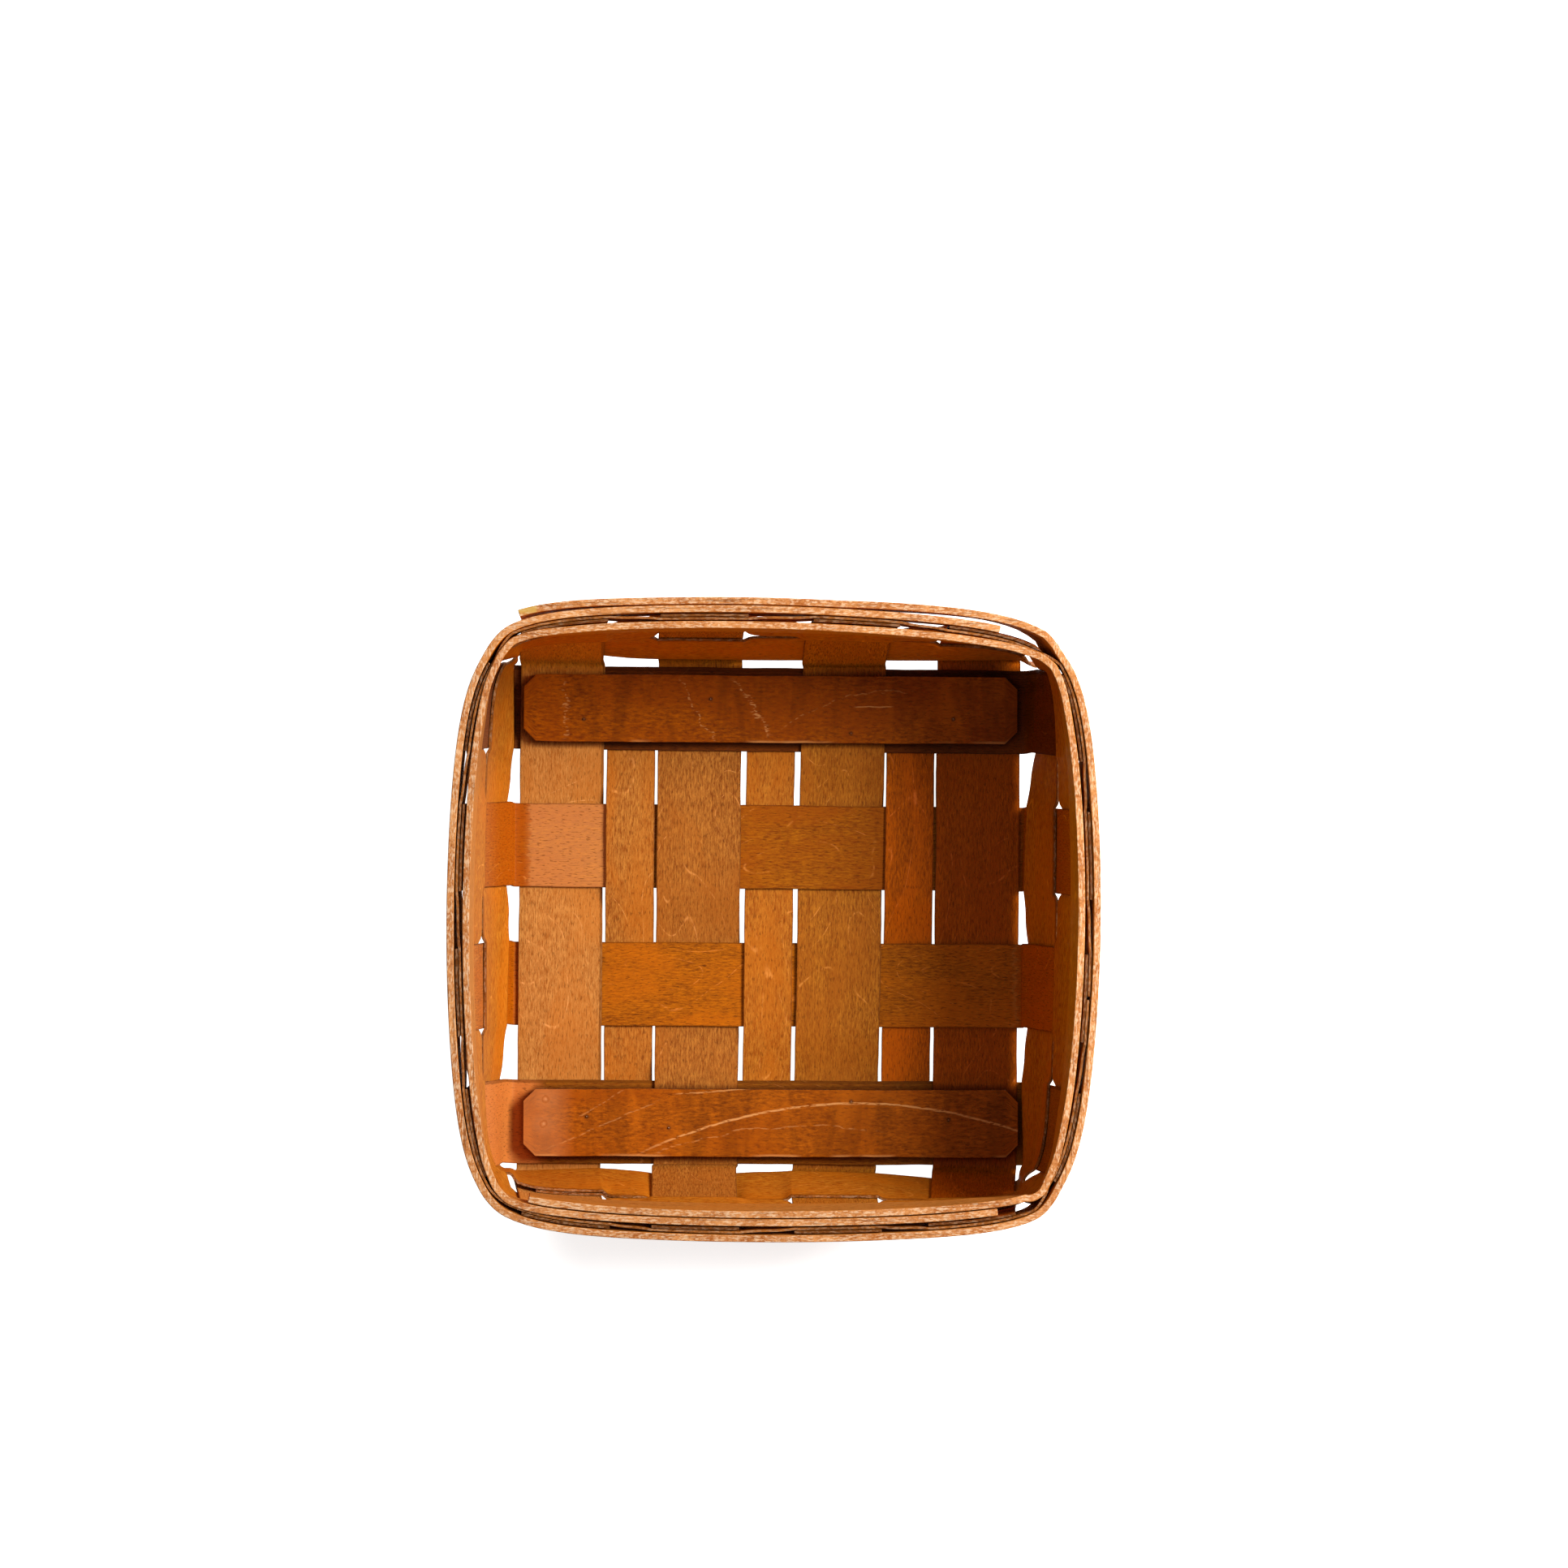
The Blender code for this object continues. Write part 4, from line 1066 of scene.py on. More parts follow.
# A cleat's face
CLEAT_STAIN_SHARE = 0.65
CROSS_FIGURE_RANGE = (0.44, 0.64, 0.0, 0.34)
CROSS_FIGURE_GAIN = 0.55
BRIGHT_FIGURE_RANGE = (0.52, 0.70, 0.0, 0.40)
BRIGHT_FIGURE_GAIN = 1.20
CLEAT_PORE_SHARE = 0.40
CLEAT_END_RANGE = (-0.0740, -0.0830, 0.0, 0.22)
KNOT_WAVER_REACH = 0.0012
KNOT_GLOW = (0.0068, 0.0020, 0.0, 0.13)
KNOT_RADIUS = 0.0018
KNOT_RING = (0.0005, 0.0001, 0.0, 0.38)
KNOT_HEART = (0.0014, 0.0008, 0.0, 0.40)
TACK_STAIN_RANGE = (0.0012, 0.0006)
TACK_STAIN_SHARE = 0.55
CLEAT_NEAR_BORDER = (0.0008, 0.0001)
CLEAT_FAR_BORDER = (0.0247, 0.0253)
EDGE_HIGHLIGHT_RANGE = (0.46, 0.56)
EDGE_HIGHLIGHT_SHARE = 0.55
CLEAT_ROUGHNESS = (0.52, 0.36)
CLEAT_RELIEF = (0.30, 0.00012)

# A pale line on a cleat
LINE_WAVER_SCALE = 130.0
LINE_WAVER_GROWTH = 900
LINE_CORE_SHARE = 0.2
LINE_END_SHARE = 0.7
LINE_FIBRE_FADE = 0.10

# A tack's steel
RUST_RANGE = (0.54, 0.68)
RUSTY_METAL = 0.25
STEEL_ROUGHNESS = (0.32, 0.75)
STEEL_RELIEF = (0.4, 0.0001)


def linear(red, green, blue):
    """A colour given in display values from 0 to 255, for the shader."""
    values = []
    for value in (red, green, blue):
        value /= 255
        values.append(value / 12.92 if value <= 0.04045 else ((value + 0.055) / 1.055) ** 2.4)
    return (*values, 1)


def scaled(colour, gain, lift=0.0):
    """A colour made darker or lighter."""
    return (*[value * gain + lift for value in colour[:3]], 1)


class Net:
    """Short ways to add and join the nodes of one tree."""

    def __init__(self, tree):
        self.tree = tree
        self.nodes = tree.nodes

    def put(self, socket, value):
        if isinstance(value, bpy.types.NodeSocket):
            self.tree.links.new(value, socket)
        else:
            socket.default_value = value

    def math(self, operation, first, second=0.5, third=0.5):
        made = self.nodes.new("ShaderNodeMath")
        made.operation = operation
        for socket, value in zip(made.inputs, (first, second, third)):
            self.put(socket, value)
        return made.outputs[0]

    def product(self, first, second):
        return self.math("MULTIPLY", first, second)

    def span(self, value, low, high, to_low=0.0, to_high=1.0, smoothly=True):
        """Where a value lies between two others, which may fall as well as rise."""
        made = self.nodes.new("ShaderNodeMapRange")
        made.interpolation_type = "SMOOTHSTEP" if smoothly else "LINEAR"
        for name, number in (("Value", value), ("From Min", low), ("From Max", high),
                             ("To Min", to_low), ("To Max", to_high)):
            self.put(made.inputs[name], number)
        return made.outputs["Result"]

    def blend(self, factor, first, second, mode="MIX"):
        made = self.nodes.new("ShaderNodeMix")
        made.data_type = "RGBA"
        made.blend_type = mode
        self.put(made.inputs["Factor"], factor)
        colours = [socket for socket in made.inputs if socket.type == "RGBA"]
        self.put(colours[0], first)
        self.put(colours[1], second)
        return [socket for socket in made.outputs if socket.type == "RGBA"][0]

    def cloud(self, vector, scale, detail=2.0, rough=0.5, warp=0.0):
        made = self.nodes.new("ShaderNodeTexNoise")
        self.put(made.inputs["Vector"], vector)
        made.inputs["Scale"].default_value = scale
        made.inputs["Detail"].default_value = detail
        made.inputs["Roughness"].default_value = rough
        made.inputs["Distortion"].default_value = warp
        return made.outputs[0]

    def flecks(self, vector, pattern):
        """A cloud drawn out along the wood."""
        made = self.nodes.new("ShaderNodeMapping")
        self.put(made.inputs["Vector"], vector)
        made.inputs["Scale"].default_value = pattern[:3]
        return self.cloud(made.outputs["Vector"], 1.0, *pattern[3:])

    def axis(self, vector, name):
        made = self.nodes.new("ShaderNodeSeparateXYZ")
        self.put(made.inputs[0], vector)
        return made.outputs[name]

    def distance(self, vector, place):
        made = self.nodes.new("ShaderNodeVectorMath")
        made.operation = "DISTANCE"
        self.put(made.inputs[0], vector)
        made.inputs[1].default_value = place
        return made.outputs["Value"]

    def group(self, tree, **values):
        made = self.nodes.new("ShaderNodeGroup")
        made.node_tree = tree
        for name, value in values.items():
            self.put(made.inputs[name], value)
        return made.outputs


def new_group(name, inputs, outputs):
    tree = bpy.data.node_groups.new(name, "ShaderNodeTree")
    for socket, kind in inputs:
        tree.interface.new_socket(socket, in_out="INPUT", socket_type=kind)
    for socket, kind in outputs:
        tree.interface.new_socket(socket, in_out="OUTPUT", socket_type=kind)
    net = Net(tree)
    entry = net.nodes.new("NodeGroupInput")
    end = net.nodes.new("NodeGroupOutput")
    return net, entry.outputs, end.inputs


def make_grain_group():
    """The figure of a sliced face: streaks, mottling, short pores and thin growth lines."""
    net, given, out = new_group("sliced_grain", [("Grain", "NodeSocketVector")], [
        ("Tone", "NodeSocketFloat"), ("Stain", "NodeSocketFloat"), ("Pore", "NodeSocketFloat"),
        ("Line", "NodeSocketFloat"), ("Height", "NodeSocketFloat")])
    grain = given["Grain"]
    streak = net.flecks(grain, STREAKS)
    ripple = net.flecks(grain, RIPPLES)
    fibre = net.flecks(grain, FIBRES)
    tone = net.math("MULTIPLY_ADD", streak, STREAK_WEIGHT, 0.0)
    tone = net.math("MULTIPLY_ADD", ripple, RIPPLE_WEIGHT, tone)
    tone = net.math("MULTIPLY_ADD", fibre, FIBRE_WEIGHT, tone)
    net.put(out["Tone"], net.span(tone, *TONE_RANGE, smoothly=False))
    net.put(out["Stain"], net.span(net.flecks(grain, STAINS), *STAIN_RANGE))
    pores = net.flecks(grain, PORES)
    net.put(out["Pore"], net.span(pores, *PORE_RANGE))
    contour = net.flecks(grain, CONTOURS)
    ring = net.math("PINGPONG", net.product(contour, LINES_PER_CONTOUR), 0.5)
    thin = net.span(ring, *LINE_RANGE)
    broken = net.span(net.flecks(grain, LINE_BREAKS), *LINE_BREAK_RANGE)
    patchy = net.span(net.cloud(grain, *LINE_PATCHES), *LINE_PATCH_RANGE)
    net.put(out["Line"], net.product(net.product(thin, broken), patchy))
    height = net.math("MULTIPLY_ADD", pores, PORE_DEPTH, fibre)
    net.put(out["Height"], net.math("MULTIPLY_ADD", ripple, RIPPLE_HEIGHT, height))
    return net.tree


def make_cut_group():
    """The look of a cut edge: close short ticks, and darker lines along the strip."""
    net, given, out = new_group("cut_edge", [("Grain", "NodeSocketVector"), ("Place", "NodeSocketVector")], [
        ("Tone", "NodeSocketFloat"), ("Tick", "NodeSocketFloat"), ("Dark", "NodeSocketFloat"),
        ("Height", "NodeSocketFloat")])
    place = given["Place"]
    broad = net.flecks(given["Grain"], CUT_BANDS)
    fine = net.cloud(place, *CUT_SPECKS)
    tone = net.math("MULTIPLY_ADD", fine, CUT_SPECK_WEIGHT, broad)
    net.put(out["Tone"], net.span(tone, *CUT_TONE_RANGE, smoothly=False))
    x = net.math("ABSOLUTE", net.axis(place, "X"))
    y = net.math("ABSOLUTE", net.axis(place, "Y"))
    turned = net.span(net.math("SUBTRACT", x, y), *CORNER_TURN)
    ticks = net.blend(turned, net.flecks(place, TICKS_ALONG_X), net.flecks(place, TICKS_ALONG_Y))
    patch = net.cloud(place, *TICK_PATCHES)
    net.put(out["Tick"], net.product(net.span(ticks, *TICK_RANGE), net.span(patch, *TICK_PATCH_RANGE)))
    dark = net.blend(turned, net.flecks(place, DARK_ALONG_X), net.flecks(place, DARK_ALONG_Y))
    net.put(out["Dark"], net.span(dark, *DARK_RANGE))
    net.put(out["Height"], net.math("MULTIPLY_ADD", ticks, TICK_HEIGHT, fine))
    return net.tree


def make_wall_group():
    """Painted light and shade by place: sheen on the left wall, light and shade tints on the right and back
    walls, a shaded corner, shadow about the cleats.
    """
    net, given, out = new_group("wall_painted_light", [("Place", "NodeSocketVector"), ("Colour", "NodeSocketColor")],
                                [("Colour", "NodeSocketColor")])
    x = net.axis(given["Place"], "X")
    y = net.axis(given["Place"], "Y")
    # Painted sheen: the left wall paler and pinker
    colour = net.blend(net.span(x, *LEFT_WALL, 0.0, LEFT_SHEEN_TINT_SHARE), given["Colour"], LEFT_SHEEN_TINT)
    # Painted shade: the right wall more saturated; then painted bounce light, lighter and yellower, at its
    # rim
    colour = net.blend(net.span(x, *RIGHT_WALL), colour, RIGHT_SHADE_TINT, "MULTIPLY")
    colour = net.blend(net.span(x, *RIGHT_RIM), colour, RIGHT_RIM_LIGHT_TINT, "MULTIPLY")
    # Painted shade: a darker corner on the left wall towards the back
    shady = net.product(net.span(x, *SHADY_CORNER_X), net.span(y, *SHADY_CORNER_Y))
    colour = net.blend(shady, colour, SHADY_TINT, "MULTIPLY")
    # Painted light: the back wall lighter and more saturated, short of its right end
    far = net.product(net.span(y, *BACK_WALL), net.span(x, *BACK_WALL_END))
    colour = net.blend(far, colour, BACK_LIGHT_TINT, "MULTIPLY")
    # Painted shadow: the splints' top faces darker within a few millimetres of each cleat
    upper = net.span(net.axis(given["Place"], "Z"), BASE_Z - SPLINT / 4, BASE_Z + SPLINT / 4)
    for row in (0, 3):
        y_away = net.math("ABSOLUTE", net.math("SUBTRACT", y, CROSS_PLACES[row] + SHIFT.y))
        x_away = net.math("ABSOLUTE", net.math("SUBTRACT", x, CLEAT_SHIFT + SHIFT.x))
        end = net.math("SUBTRACT", x_away, CLEAT_LENGTH / 2)
        side = net.math("SUBTRACT", y_away, CLEAT_WIDTH / 2)
        corner = net.product(net.math("ADD", net.math("ADD", end, side), CLEAT_CHAMFER), CHAMFER_TURN_SHARE)
        away = net.math("MAXIMUM", net.math("MAXIMUM", end, side), corner)
        near = net.product(net.span(away, CLEAT_SHADE_REACH, 0.0, 0.0, CLEAT_SHADE_SHARE), upper)
        colour = net.blend(near, colour, CLEAT_SHADE, "MULTIPLY")
    net.put(out["Colour"], colour)
    return net.tree


grain_group = make_grain_group()
cut_group = make_cut_group()
wall_group = make_wall_group()


def start_material(name):
    material = bpy.data.materials.new(name)
    material.use_nodes = True
    net = Net(material.node_tree)
    shader = net.nodes["Principled BSDF"]
    mapped = net.nodes.new("ShaderNodeUVMap")
    mapped.uv_map = "grain"
    where = net.nodes.new("ShaderNodeTexCoord")
    return material, net, shader, mapped.outputs["UV"], where.outputs["Object"]


def relief(net, shader, height, strength, distance):
    bump = net.nodes.new("ShaderNodeBump")
    bump.inputs["Strength"].default_value = strength
    bump.inputs["Distance"].default_value = distance
    net.put(bump.inputs["Height"], height)
    net.put(shader.inputs["Normal"], bump.outputs["Normal"])


def finish(net, shader, colour, figure, roughness, bump):
    """Set what every wood surface has: its colour, sheen and relief."""
    net.put(shader.inputs["Base Color"], colour)
    net.put(shader.inputs["Roughness"], net.span(figure["Tone"], 0.0, 1.0, *roughness))
    shader.inputs["Specular IOR Level"].default_value = SHEEN
    relief(net, shader, figure["Height"], *bump)


def bent(net, where, grain, colour):
    """Paint light on the band where a splint leaves the base and bends up, warmer there, with a painted sheen
    on its wavy pale front.
    """
    far = net.math("ABSOLUTE", net.axis(where, "X"))
    ragged = net.flecks(grain, WAVY_FRONT)
    far = net.math("MULTIPLY_ADD", net.math("SUBTRACT", ragged, 0.5), BEND_WAVER, far)
    mask = net.product(net.span(far, *BEND_START), net.span(far, *BEND_STOP))
    slope = net.math("MULTIPLY_ADD", mask, BEND_FRONT_SHARPNESS, -1.0)
    front = net.math("SUBTRACT", 1.0, net.math("ABSOLUTE", slope))
    # Painted light on the bend, then a painted sheen along its front
    colour = net.blend(net.product(mask, BEND_SHARE), colour, linear(178, 80, 2))
    return net.blend(net.span(front, 0.0, 1.0, 0.0, BEND_FRONT_SHARE), colour, linear(240, 180, 110))


def across_strip(net, grain, seed):
    """How far a point lies from the first edge of its strip."""
    return net.math("SUBTRACT", net.axis(grain, "Y"), seed * GRAIN_SHIFT_ACROSS)


def face_material(name, seed, width, look, bends=False, pale_end=None):
    """The face of a splint: light and dark grain, a warmer stain in patches, and painted light and sheen at
    the bends.
    """
    light, dark, stain = look
    material, net, shader, grain, where = start_material(name)
    figure = net.group(grain_group, Grain=grain)
    colour = net.blend(figure["Tone"], dark, light)
    colour = net.blend(net.product(figure["Stain"], STAIN_SHARE), colour, stain)
    # Painted light: the splint paler towards its left end
    if pale_end:
        start, stop, share, tint = pale_end
        x = net.axis(where, "X")
        over = net.product(net.span(x, *start, 0.0, share), net.span(x, *stop))
        colour = net.blend(over, colour, tint)
    if bends:
        colour = bent(net, where, grain, colour)
    deep = scaled(dark, DEEP_SHARE)
    colour = net.blend(net.product(figure["Pore"], PORE_SHARE), colour, deep)
    bright = scaled(light, BRIGHT_GAIN, BRIGHT_LIFT)
    colour = net.blend(net.product(figure["Line"], LINE_SHARE), colour, bright)
    # Painted shade: a dark line along both edges of the strip
    across = across_strip(net, grain, seed)
    border = net.math("MAXIMUM", net.span(across, EDGE_SHADE_START, EDGE_SHADE_FULL),
                      net.span(across, width - EDGE_SHADE_START, width - EDGE_SHADE_FULL))
    colour = net.blend(net.product(border, EDGE_SHADE_SHARE), colour, deep)
    colour = net.group(wall_group, Place=where, Colour=colour)["Colour"]
    finish(net, shader, colour, figure, FACE_ROUGHNESS, FACE_RELIEF)
    return material


def edge_material(name, light, dark, tick_share, end_colour=None):
    """A cut edge with pale ticks and dark lines, and for a hoop the fresh colour of its free end."""
    material, net, shader, grain, where = start_material(name)
    cut = net.group(cut_group, Grain=grain, Place=where)
    colour = net.blend(cut["Tone"], dark, light)
    colour = net.blend(net.product(cut["Tick"], tick_share), colour, linear(250, 212, 170))
    colour = net.blend(net.product(cut["Dark"], DARK_SHARE), colour, linear(110, 58, 24))
    if end_colour:
        y_far = net.span(net.axis(where, "Y"), *HOOP_END_Y)
        x_far = net.span(net.axis(where, "X"), *HOOP_END_X)
        colour = net.blend(net.product(net.product(y_far, x_far), HOOP_END_SHARE), colour, end_colour)
    finish(net, shader, colour, cut, EDGE_ROUGHNESS, EDGE_RELIEF)
    return material


def pale_line(net, where, place, turn, bend, wave, width, reach, thin):
    """A pale line over a slat: straight or bowed, wavering, and broken into fibres."""
    x = net.math("SUBTRACT", net.axis(where, "X"), place[0] + SHIFT.x)
    y = net.math("SUBTRACT", net.axis(where, "Y"), place[1] + SHIFT.y)
    along = net.math("MULTIPLY_ADD", x, math.cos(turn), net.product(y, math.sin(turn)))
    away = net.math("MULTIPLY_ADD", y, math.cos(turn), net.product(x, -math.sin(turn)))
    away = net.math("MULTIPLY_ADD", net.product(along, along), bend, away)
    waver = net.cloud(where, LINE_WAVER_SCALE + LINE_WAVER_GROWTH * abs(place[0]), 2.0, 0.5)
    away = net.math("MULTIPLY_ADD", net.math("SUBTRACT", waver, 0.5), wave, away)
    close = net.span(net.math("ABSOLUTE", away), width, width * LINE_CORE_SHARE)
    within = net.span(net.math("ABSOLUTE", along), reach, reach * LINE_END_SHARE)
    fibres = net.span(net.flecks(where, LINE_FIBRES), thin, thin + LINE_FIBRE_FADE)
    return net.product(net.product(close, within), fibres)


def knotted(net, where, colour, knots):
    """Lighten one end of a cleat, and ring its knots."""
    end = net.span(net.axis(where, "X"), *CLEAT_END_RANGE)
    colour = net.blend(end, colour, linear(236, 160, 100))
    for knot in knots:
        away = net.distance(where, (knot[0] + SHIFT.x, knot[1] + SHIFT.y, CLEAT_Z + CLEAT_THICK))
        away = net.math("MULTIPLY_ADD", net.cloud(where, *KNOT_WAVER), KNOT_WAVER_REACH, away)
        colour = net.blend(net.span(away, *KNOT_GLOW), colour, linear(232, 158, 96))
        ring = net.math("ABSOLUTE", net.math("SUBTRACT", away, KNOT_RADIUS))
        colour = net.blend(net.span(ring, *KNOT_RING), colour, linear(150, 76, 20))
        colour = net.blend(net.span(away, *KNOT_HEART), colour, linear(238, 170, 110))
    return colour


def cleat_material(name, seed, look, lines, knots, tack_places):
    """A cleat's face: broad figure across the grain, pale lines, stains round the tacks, and a painted
    highlight along its edges.
    """
    light, dark, stain = look
    material, net, shader, grain, where = start_material(name)
    figure = net.group(grain_group, Grain=grain)
    colour = net.blend(figure["Tone"], dark, light)
    colour = net.blend(net.product(figure["Stain"], CLEAT_STAIN_SHARE), colour, stain)
    cross = net.flecks(grain, CROSS_FIGURE)
    colour = net.blend(net.span(cross, *CROSS_FIGURE_RANGE), colour, scaled(dark, CROSS_FIGURE_GAIN))
    bright = net.flecks(grain, BRIGHT_FIGURE)
    colour = net.blend(net.span(bright, *BRIGHT_FIGURE_RANGE), colour, scaled(light, BRIGHT_FIGURE_GAIN))
    colour = net.blend(net.product(figure["Pore"], CLEAT_PORE_SHARE), colour, linear(84, 36, 4))
    for share, *line in lines:
        over = net.product(pale_line(net, where, *line), share)
        colour = net.blend(over, colour, linear(232, 164, 96))
    if knots:
        colour = knotted(net, where, colour, knots)
    for spot in tack_places:
        away = net.distance(where, (spot.x, spot.y, CLEAT_Z + CLEAT_THICK))
        near = net.product(net.span(away, *TACK_STAIN_RANGE), TACK_STAIN_SHARE)
        colour = net.blend(near, colour, linear(58, 34, 16))
    # Painted highlight: a pale line along both edges of the cleat, broken in patches
    across = across_strip(net, grain, seed)
    border = net.math("MAXIMUM", net.span(across, *CLEAT_NEAR_BORDER), net.span(across, *CLEAT_FAR_BORDER))
    highlight_patches = net.span(net.flecks(grain, EDGE_HIGHLIGHT_PATCHES), *EDGE_HIGHLIGHT_RANGE)
    colour = net.blend(net.product(net.product(border, highlight_patches), EDGE_HIGHLIGHT_SHARE), colour, linear(230, 158, 88))
    finish(net, shader, colour, figure, CLEAT_ROUGHNESS, CLEAT_RELIEF)
    return material


def steel_material(name):
    """A tack's dull steel, with brown rust in patches."""
    material, net, shader, _, where = start_material(name)
    patch = net.cloud(where, *RUST_PATCHES)
    rust = net.span(patch, *RUST_RANGE)
    net.put(shader.inputs["Base Color"], net.blend(rust, linear(206, 202, 194), linear(120, 84, 58)))
    net.put(shader.inputs["Metallic"], net.span(rust, 0.0, 1.0, 1.0, RUSTY_METAL))
    net.put(shader.inputs["Roughness"], net.span(rust, 0.0, 1.0, *STEEL_ROUGHNESS))
    relief(net, shader, patch, *STEEL_RELIEF)
    return material


# The dressed pieces, each with its light, dark and stain colours; these also hold painted shade, darker and
# more saturated for the back cross splint, the back cleat and the right-hand splints

LONG_LOOKS = (
    (linear(217, 149, 75), linear(162, 91, 29), linear(199, 119, 44)),
    (linear(198, 125, 49), linear(129, 62, 12), linear(173, 96, 28)),
    (linear(205, 127, 36), linear(134, 65, 9), linear(176, 95, 21)),
    (linear(194, 96, 4), linear(141, 60, 1), linear(168, 74, 2)),
)
FILLER_LOOKS = (
    (linear(207, 135, 56), linear(138, 65, 9), linear(194, 107, 26)),
    (linear(207, 128, 41), linear(154, 73, 9), linear(201, 110, 23)),
    (linear(211, 104, 2), linear(142, 62, 1), linear(219, 102, 2)),
)
CROSS_LOOKS = (
    (linear(116, 57, 11), linear(83, 34, 3), linear(130, 60, 6)),
    (linear(185, 106, 14), linear(129, 57, 3), linear(162, 78, 5)),
    (linear(196, 109, 12), linear(122, 58, 3), linear(202, 105, 7)),
    (linear(166, 98, 23), linear(130, 62, 5), linear(171, 94, 15)),
)
LOWER_LOOK = (linear(203, 127, 34), linear(156, 72, 5), linear(203, 109, 15))
UPPER_LOOK = (linear(205, 129, 36), linear(156, 72, 5), linear(193, 103, 19))
RIM_LOOK = (linear(180, 103, 22), linear(131, 64, 8), linear(201, 107, 15))
HOOP_LOOK = (linear(213, 140, 64), linear(159, 88, 28), linear(204, 121, 41))
BACK_CLEAT_LOOK = (linear(177, 89, 2), linear(115, 47, 0), linear(146, 63, 0))
FRONT_CLEAT_LOOK = (linear(187, 98, 13), linear(122, 56, 3), linear(161, 75, 4))

# The cross splints with a warm bend of painted light, and those with painted light that makes them
# paler at the left: where that starts and stops, how strong it is and its colour
WARM_BENDS = (1, 2)
PALE_ENDS = {
    1: ((-0.052, -0.062), (-0.0955, -0.0900), 0.33, (1.0, 0.43, 0.144, 1)),
    3: ((-0.085, -0.092), (-0.1300, -0.1250), 0.42, (1.0, 0.31, 0.075, 1)),
}

# A width far beyond the hoops', so that a hoop's face has painted shade along one edge only
ONE_BORDER = 10

# A cleat's pale lines: strength, place, turn, bow, waver, width, reach and thinness
BACK_LINES = (
    (0.36, (-0.0767, 0.0780), 1.62, 0.0, 0.0110, 0.00080, 0.0120, 0.47),
    (0.40, (-0.0267, 0.0778), 2.04, 0.0, 0.0070, 0.00055, 0.0150, 0.46),
    (0.60, (-0.0059, 0.0794), 2.13, 0.0, 0.0120, 0.00130, 0.0140, 0.50),
    (0.55, (0.0397, 0.0790), 0.00, 0.0, 0.0010, 0.00035, 0.0080, 0.36),
    (0.30, (0.0300, 0.0830), 0.25, 8.0, 0.0050, 0.00040, 0.0300, 0.46),
)
FRONT_LINES = (
    (0.80, (0.0331, -0.0707), 0.00, 2.8, 0.0010, 0.00060, 0.0900, 0.38),
    (0.60, (-0.0214, -0.0662), 0.07, 0.0, 0.0010, 0.00040, 0.0150, 0.38),
    (0.30, (-0.0626, -0.0787), 0.41, 0.0, 0.0020, 0.00045, 0.0250, 0.42),
    (0.30, (-0.0632, -0.0707), 0.55, 0.0, 0.0020, 0.00040, 0.0110, 0.42),
    (0.30, (-0.0020, -0.0800), 0.10, 3.0, 0.0040, 0.00045, 0.0500, 0.46),
)
KNOTS = ((-0.0850, -0.0783), (-0.0841, -0.0691))

# Each piece's seed turns its grain and the unevenness of its edges
LONG_SEED, FILLER_SEED, CROSS_SEED = 1, 6, 10
LOWER_SEED, UPPER_SEED, RIM_SEED = 15, 16, 17
OUTER_HOOP_SEED, INNER_HOOP_SEED = 19, 20
BACK_CLEAT_SEED, FRONT_CLEAT_SEED = 22, 23

splint_edge = edge_material("splint_cut_edge", linear(128, 70, 24), linear(70, 34, 8), 0.15)
weaver_edge = edge_material("weaver_cut_edge", linear(172, 102, 42), linear(104, 54, 16), 0.20)
hoop_edge = edge_material("hoop_cut_edge", linear(224, 152, 90), linear(170, 94, 40), 0.55,
                          linear(206, 166, 78))
# The cleat's cut edges are dark, partly their own colour and partly painted shade on the cleat's sides
cleat_edge = edge_material("cleat_cut_edge", linear(118, 54, 10), linear(62, 24, 3), 0.10)

for index, look in enumerate(LONG_LOOKS):
    seed = LONG_SEED + index
    face = face_material("long_splint_face_" + str(index + 1), seed, WIDE, look)
    long_splint(index, face, splint_edge, seed)
for index, look in enumerate(FILLER_LOOKS):
    seed = FILLER_SEED + index
    face = face_material("filler_splint_face_" + str(index + 1), seed, NARROW, look)
    filler_splint(index, face, splint_edge, seed)
for index, look in enumerate(CROSS_LOOKS):
    seed = CROSS_SEED + index
    face = face_material("cross_splint_face_" + str(index + 1), seed, WIDE, look, index in WARM_BENDS,
                         PALE_ENDS.get(index))
    cross_splint(index, face, splint_edge, seed)

lower_face = face_material("lower_weaver_face", LOWER_SEED, WEAVER_HEIGHT, LOWER_LOOK)
upper_face = face_material("upper_weaver_face", UPPER_SEED, WEAVER_HEIGHT, UPPER_LOOK)
rim_face = face_material("rim_weaver_face", RIM_SEED, SPLINT_END - RIM_WEAVER_FOOT, RIM_LOOK)
hoop_face = face_material("hoop_face", OUTER_HOOP_SEED, ONE_BORDER, HOOP_LOOK)
lower_weaver(lower_face, weaver_edge, LOWER_SEED)
upper_weaver(upper_face, weaver_edge, UPPER_SEED)
rim_weaver(rim_face, weaver_edge, RIM_SEED)
outer_hoop(hoop_face, hoop_edge, OUTER_HOOP_SEED)
inner_hoop(hoop_face, hoop_edge, INNER_HOOP_SEED)

shown_tacks = [place + SHIFT for place in cleat_tack_places()]
back_face = cleat_material("back_cleat_face", BACK_CLEAT_SEED, BACK_CLEAT_LOOK, BACK_LINES, (),
                           shown_tacks[:4])
front_face = cleat_material("front_cleat_face", FRONT_CLEAT_SEED, FRONT_CLEAT_LOOK, FRONT_LINES, KNOTS,
                            shown_tacks[4:])
cleat("cleat_back", 0, back_face, cleat_edge, BACK_CLEAT_SEED)
cleat("cleat_front", 3, front_face, cleat_edge, FRONT_CLEAT_SEED)

steel = steel_material("tack_steel_worn")
cleat_tacks(steel)
rim_tacks(steel)


# Floor, light and camera

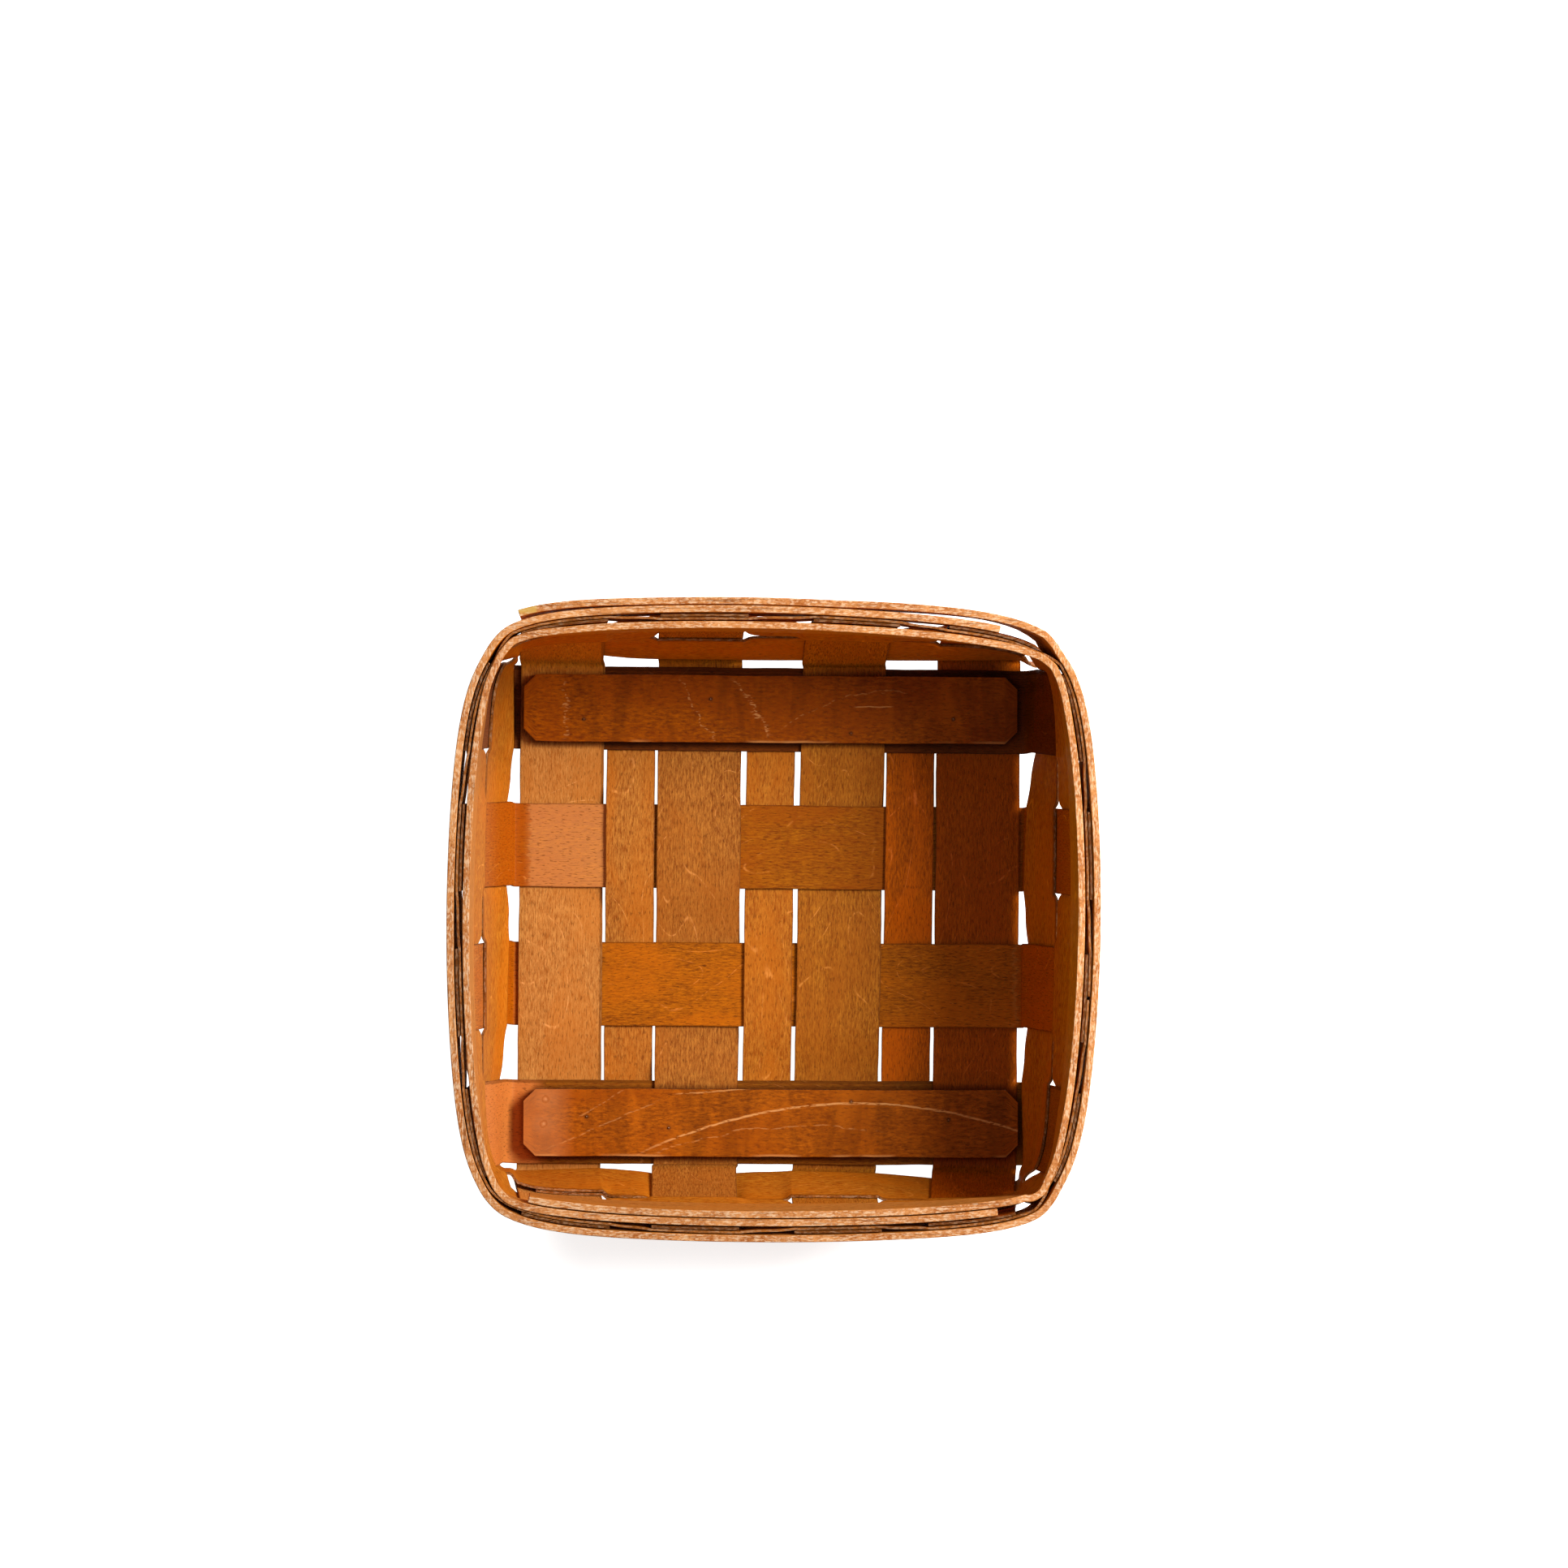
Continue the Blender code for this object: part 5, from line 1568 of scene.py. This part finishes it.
FLOOR_HALF = 3
FLOOR_GREY = 0.86
FLOOR_ROUGHNESS = 0.9
FLOOR_LIFT = 0.68
SHADOW_LEFT = (-0.105, -0.070)
SHADOW_RIGHT = (0.070, 0.0)
SHADOW_NEAR = (-0.150, -0.118)
SHADOW_FAR = (-0.106, -0.116)
SKY_LIGHT = 0.3
KEY_PLACE = (0.95, 0.40, 0.95)
KEY_TARGET = (0, 0, 0.02)
KEY_SIZE = 0.7
KEY_POWER = 28
FILM_WIDTH = 36
LENS = 113.4
CAMERA_PLACE = Vector((-0.00314, 0.00049, 1.875))
CAMERA_TURN = (math.radians(1.515), math.radians(-0.273), 0)


def make_floor():
    """A pale floor that the camera sees white, less so where the basket's shadow falls."""
    bm = bmesh.new()
    bmesh.ops.create_grid(bm, x_segments=1, y_segments=1, size=FLOOR_HALF)
    mesh = bpy.data.meshes.new("floor")
    bm.to_mesh(mesh)
    bm.free()
    made = bpy.data.objects.new("floor", mesh)
    bpy.context.scene.collection.objects.link(made)
    material = bpy.data.materials.new("floor")
    material.use_nodes = True
    net = Net(material.node_tree)
    shader = net.nodes["Principled BSDF"]
    shader.inputs["Base Color"].default_value = (FLOOR_GREY, FLOOR_GREY, FLOOR_GREY, 1)
    shader.inputs["Roughness"].default_value = FLOOR_ROUGHNESS
    shader.inputs["Emission Color"].default_value = (1, 1, 1, 1)
    where = net.nodes.new("ShaderNodeTexCoord").outputs["Object"]
    ray = net.nodes.new("ShaderNodeLightPath").outputs["Is Camera Ray"]
    x = net.axis(where, "X")
    y = net.axis(where, "Y")
    shade = net.product(net.span(x, *SHADOW_LEFT), net.span(x, *SHADOW_RIGHT))
    shade = net.product(shade, net.product(net.span(y, *SHADOW_FAR), net.span(y, *SHADOW_NEAR)))
    glow = net.span(shade, 0.0, 1.0, 1.0, FLOOR_LIFT)
    net.put(shader.inputs["Emission Strength"], net.product(glow, ray))
    mesh.materials.append(material)


def make_sky():
    """A sky that lights the basket evenly and that the camera sees white."""
    world = bpy.data.worlds.new("studio")
    bpy.context.scene.world = world
    world.use_nodes = True
    net = Net(world.node_tree)
    ray = net.nodes.new("ShaderNodeLightPath").outputs["Is Camera Ray"]
    background = net.nodes["Background"]
    background.inputs["Color"].default_value = (1, 1, 1, 1)
    net.put(background.inputs["Strength"], net.math("MULTIPLY_ADD", ray, 1 - SKY_LIGHT, SKY_LIGHT))


def make_key_light():
    """A soft round lamp, high on the right and a little behind."""
    light = bpy.data.lights.new("key_light", "AREA")
    light.shape = "DISK"
    light.size = KEY_SIZE
    light.energy = KEY_POWER
    made = bpy.data.objects.new("key_light", light)
    bpy.context.scene.collection.objects.link(made)
    made.location = KEY_PLACE
    made.rotation_mode = "QUATERNION"
    made.rotation_quaternion = (Vector(KEY_PLACE) - Vector(KEY_TARGET)).to_track_quat("Z", "Y")


def make_camera():
    """A long lens that looks straight into the opening."""
    data = bpy.data.cameras.new("camera")
    data.sensor_width = FILM_WIDTH
    data.lens = LENS
    made = bpy.data.objects.new("camera", data)
    bpy.context.scene.collection.objects.link(made)
    made.location = CAMERA_PLACE + SHIFT
    made.rotation_euler = CAMERA_TURN
    bpy.context.scene.camera = made


make_floor()
make_sky()
make_key_light()
make_camera()
bpy.context.scene.view_settings.view_transform = "Standard"
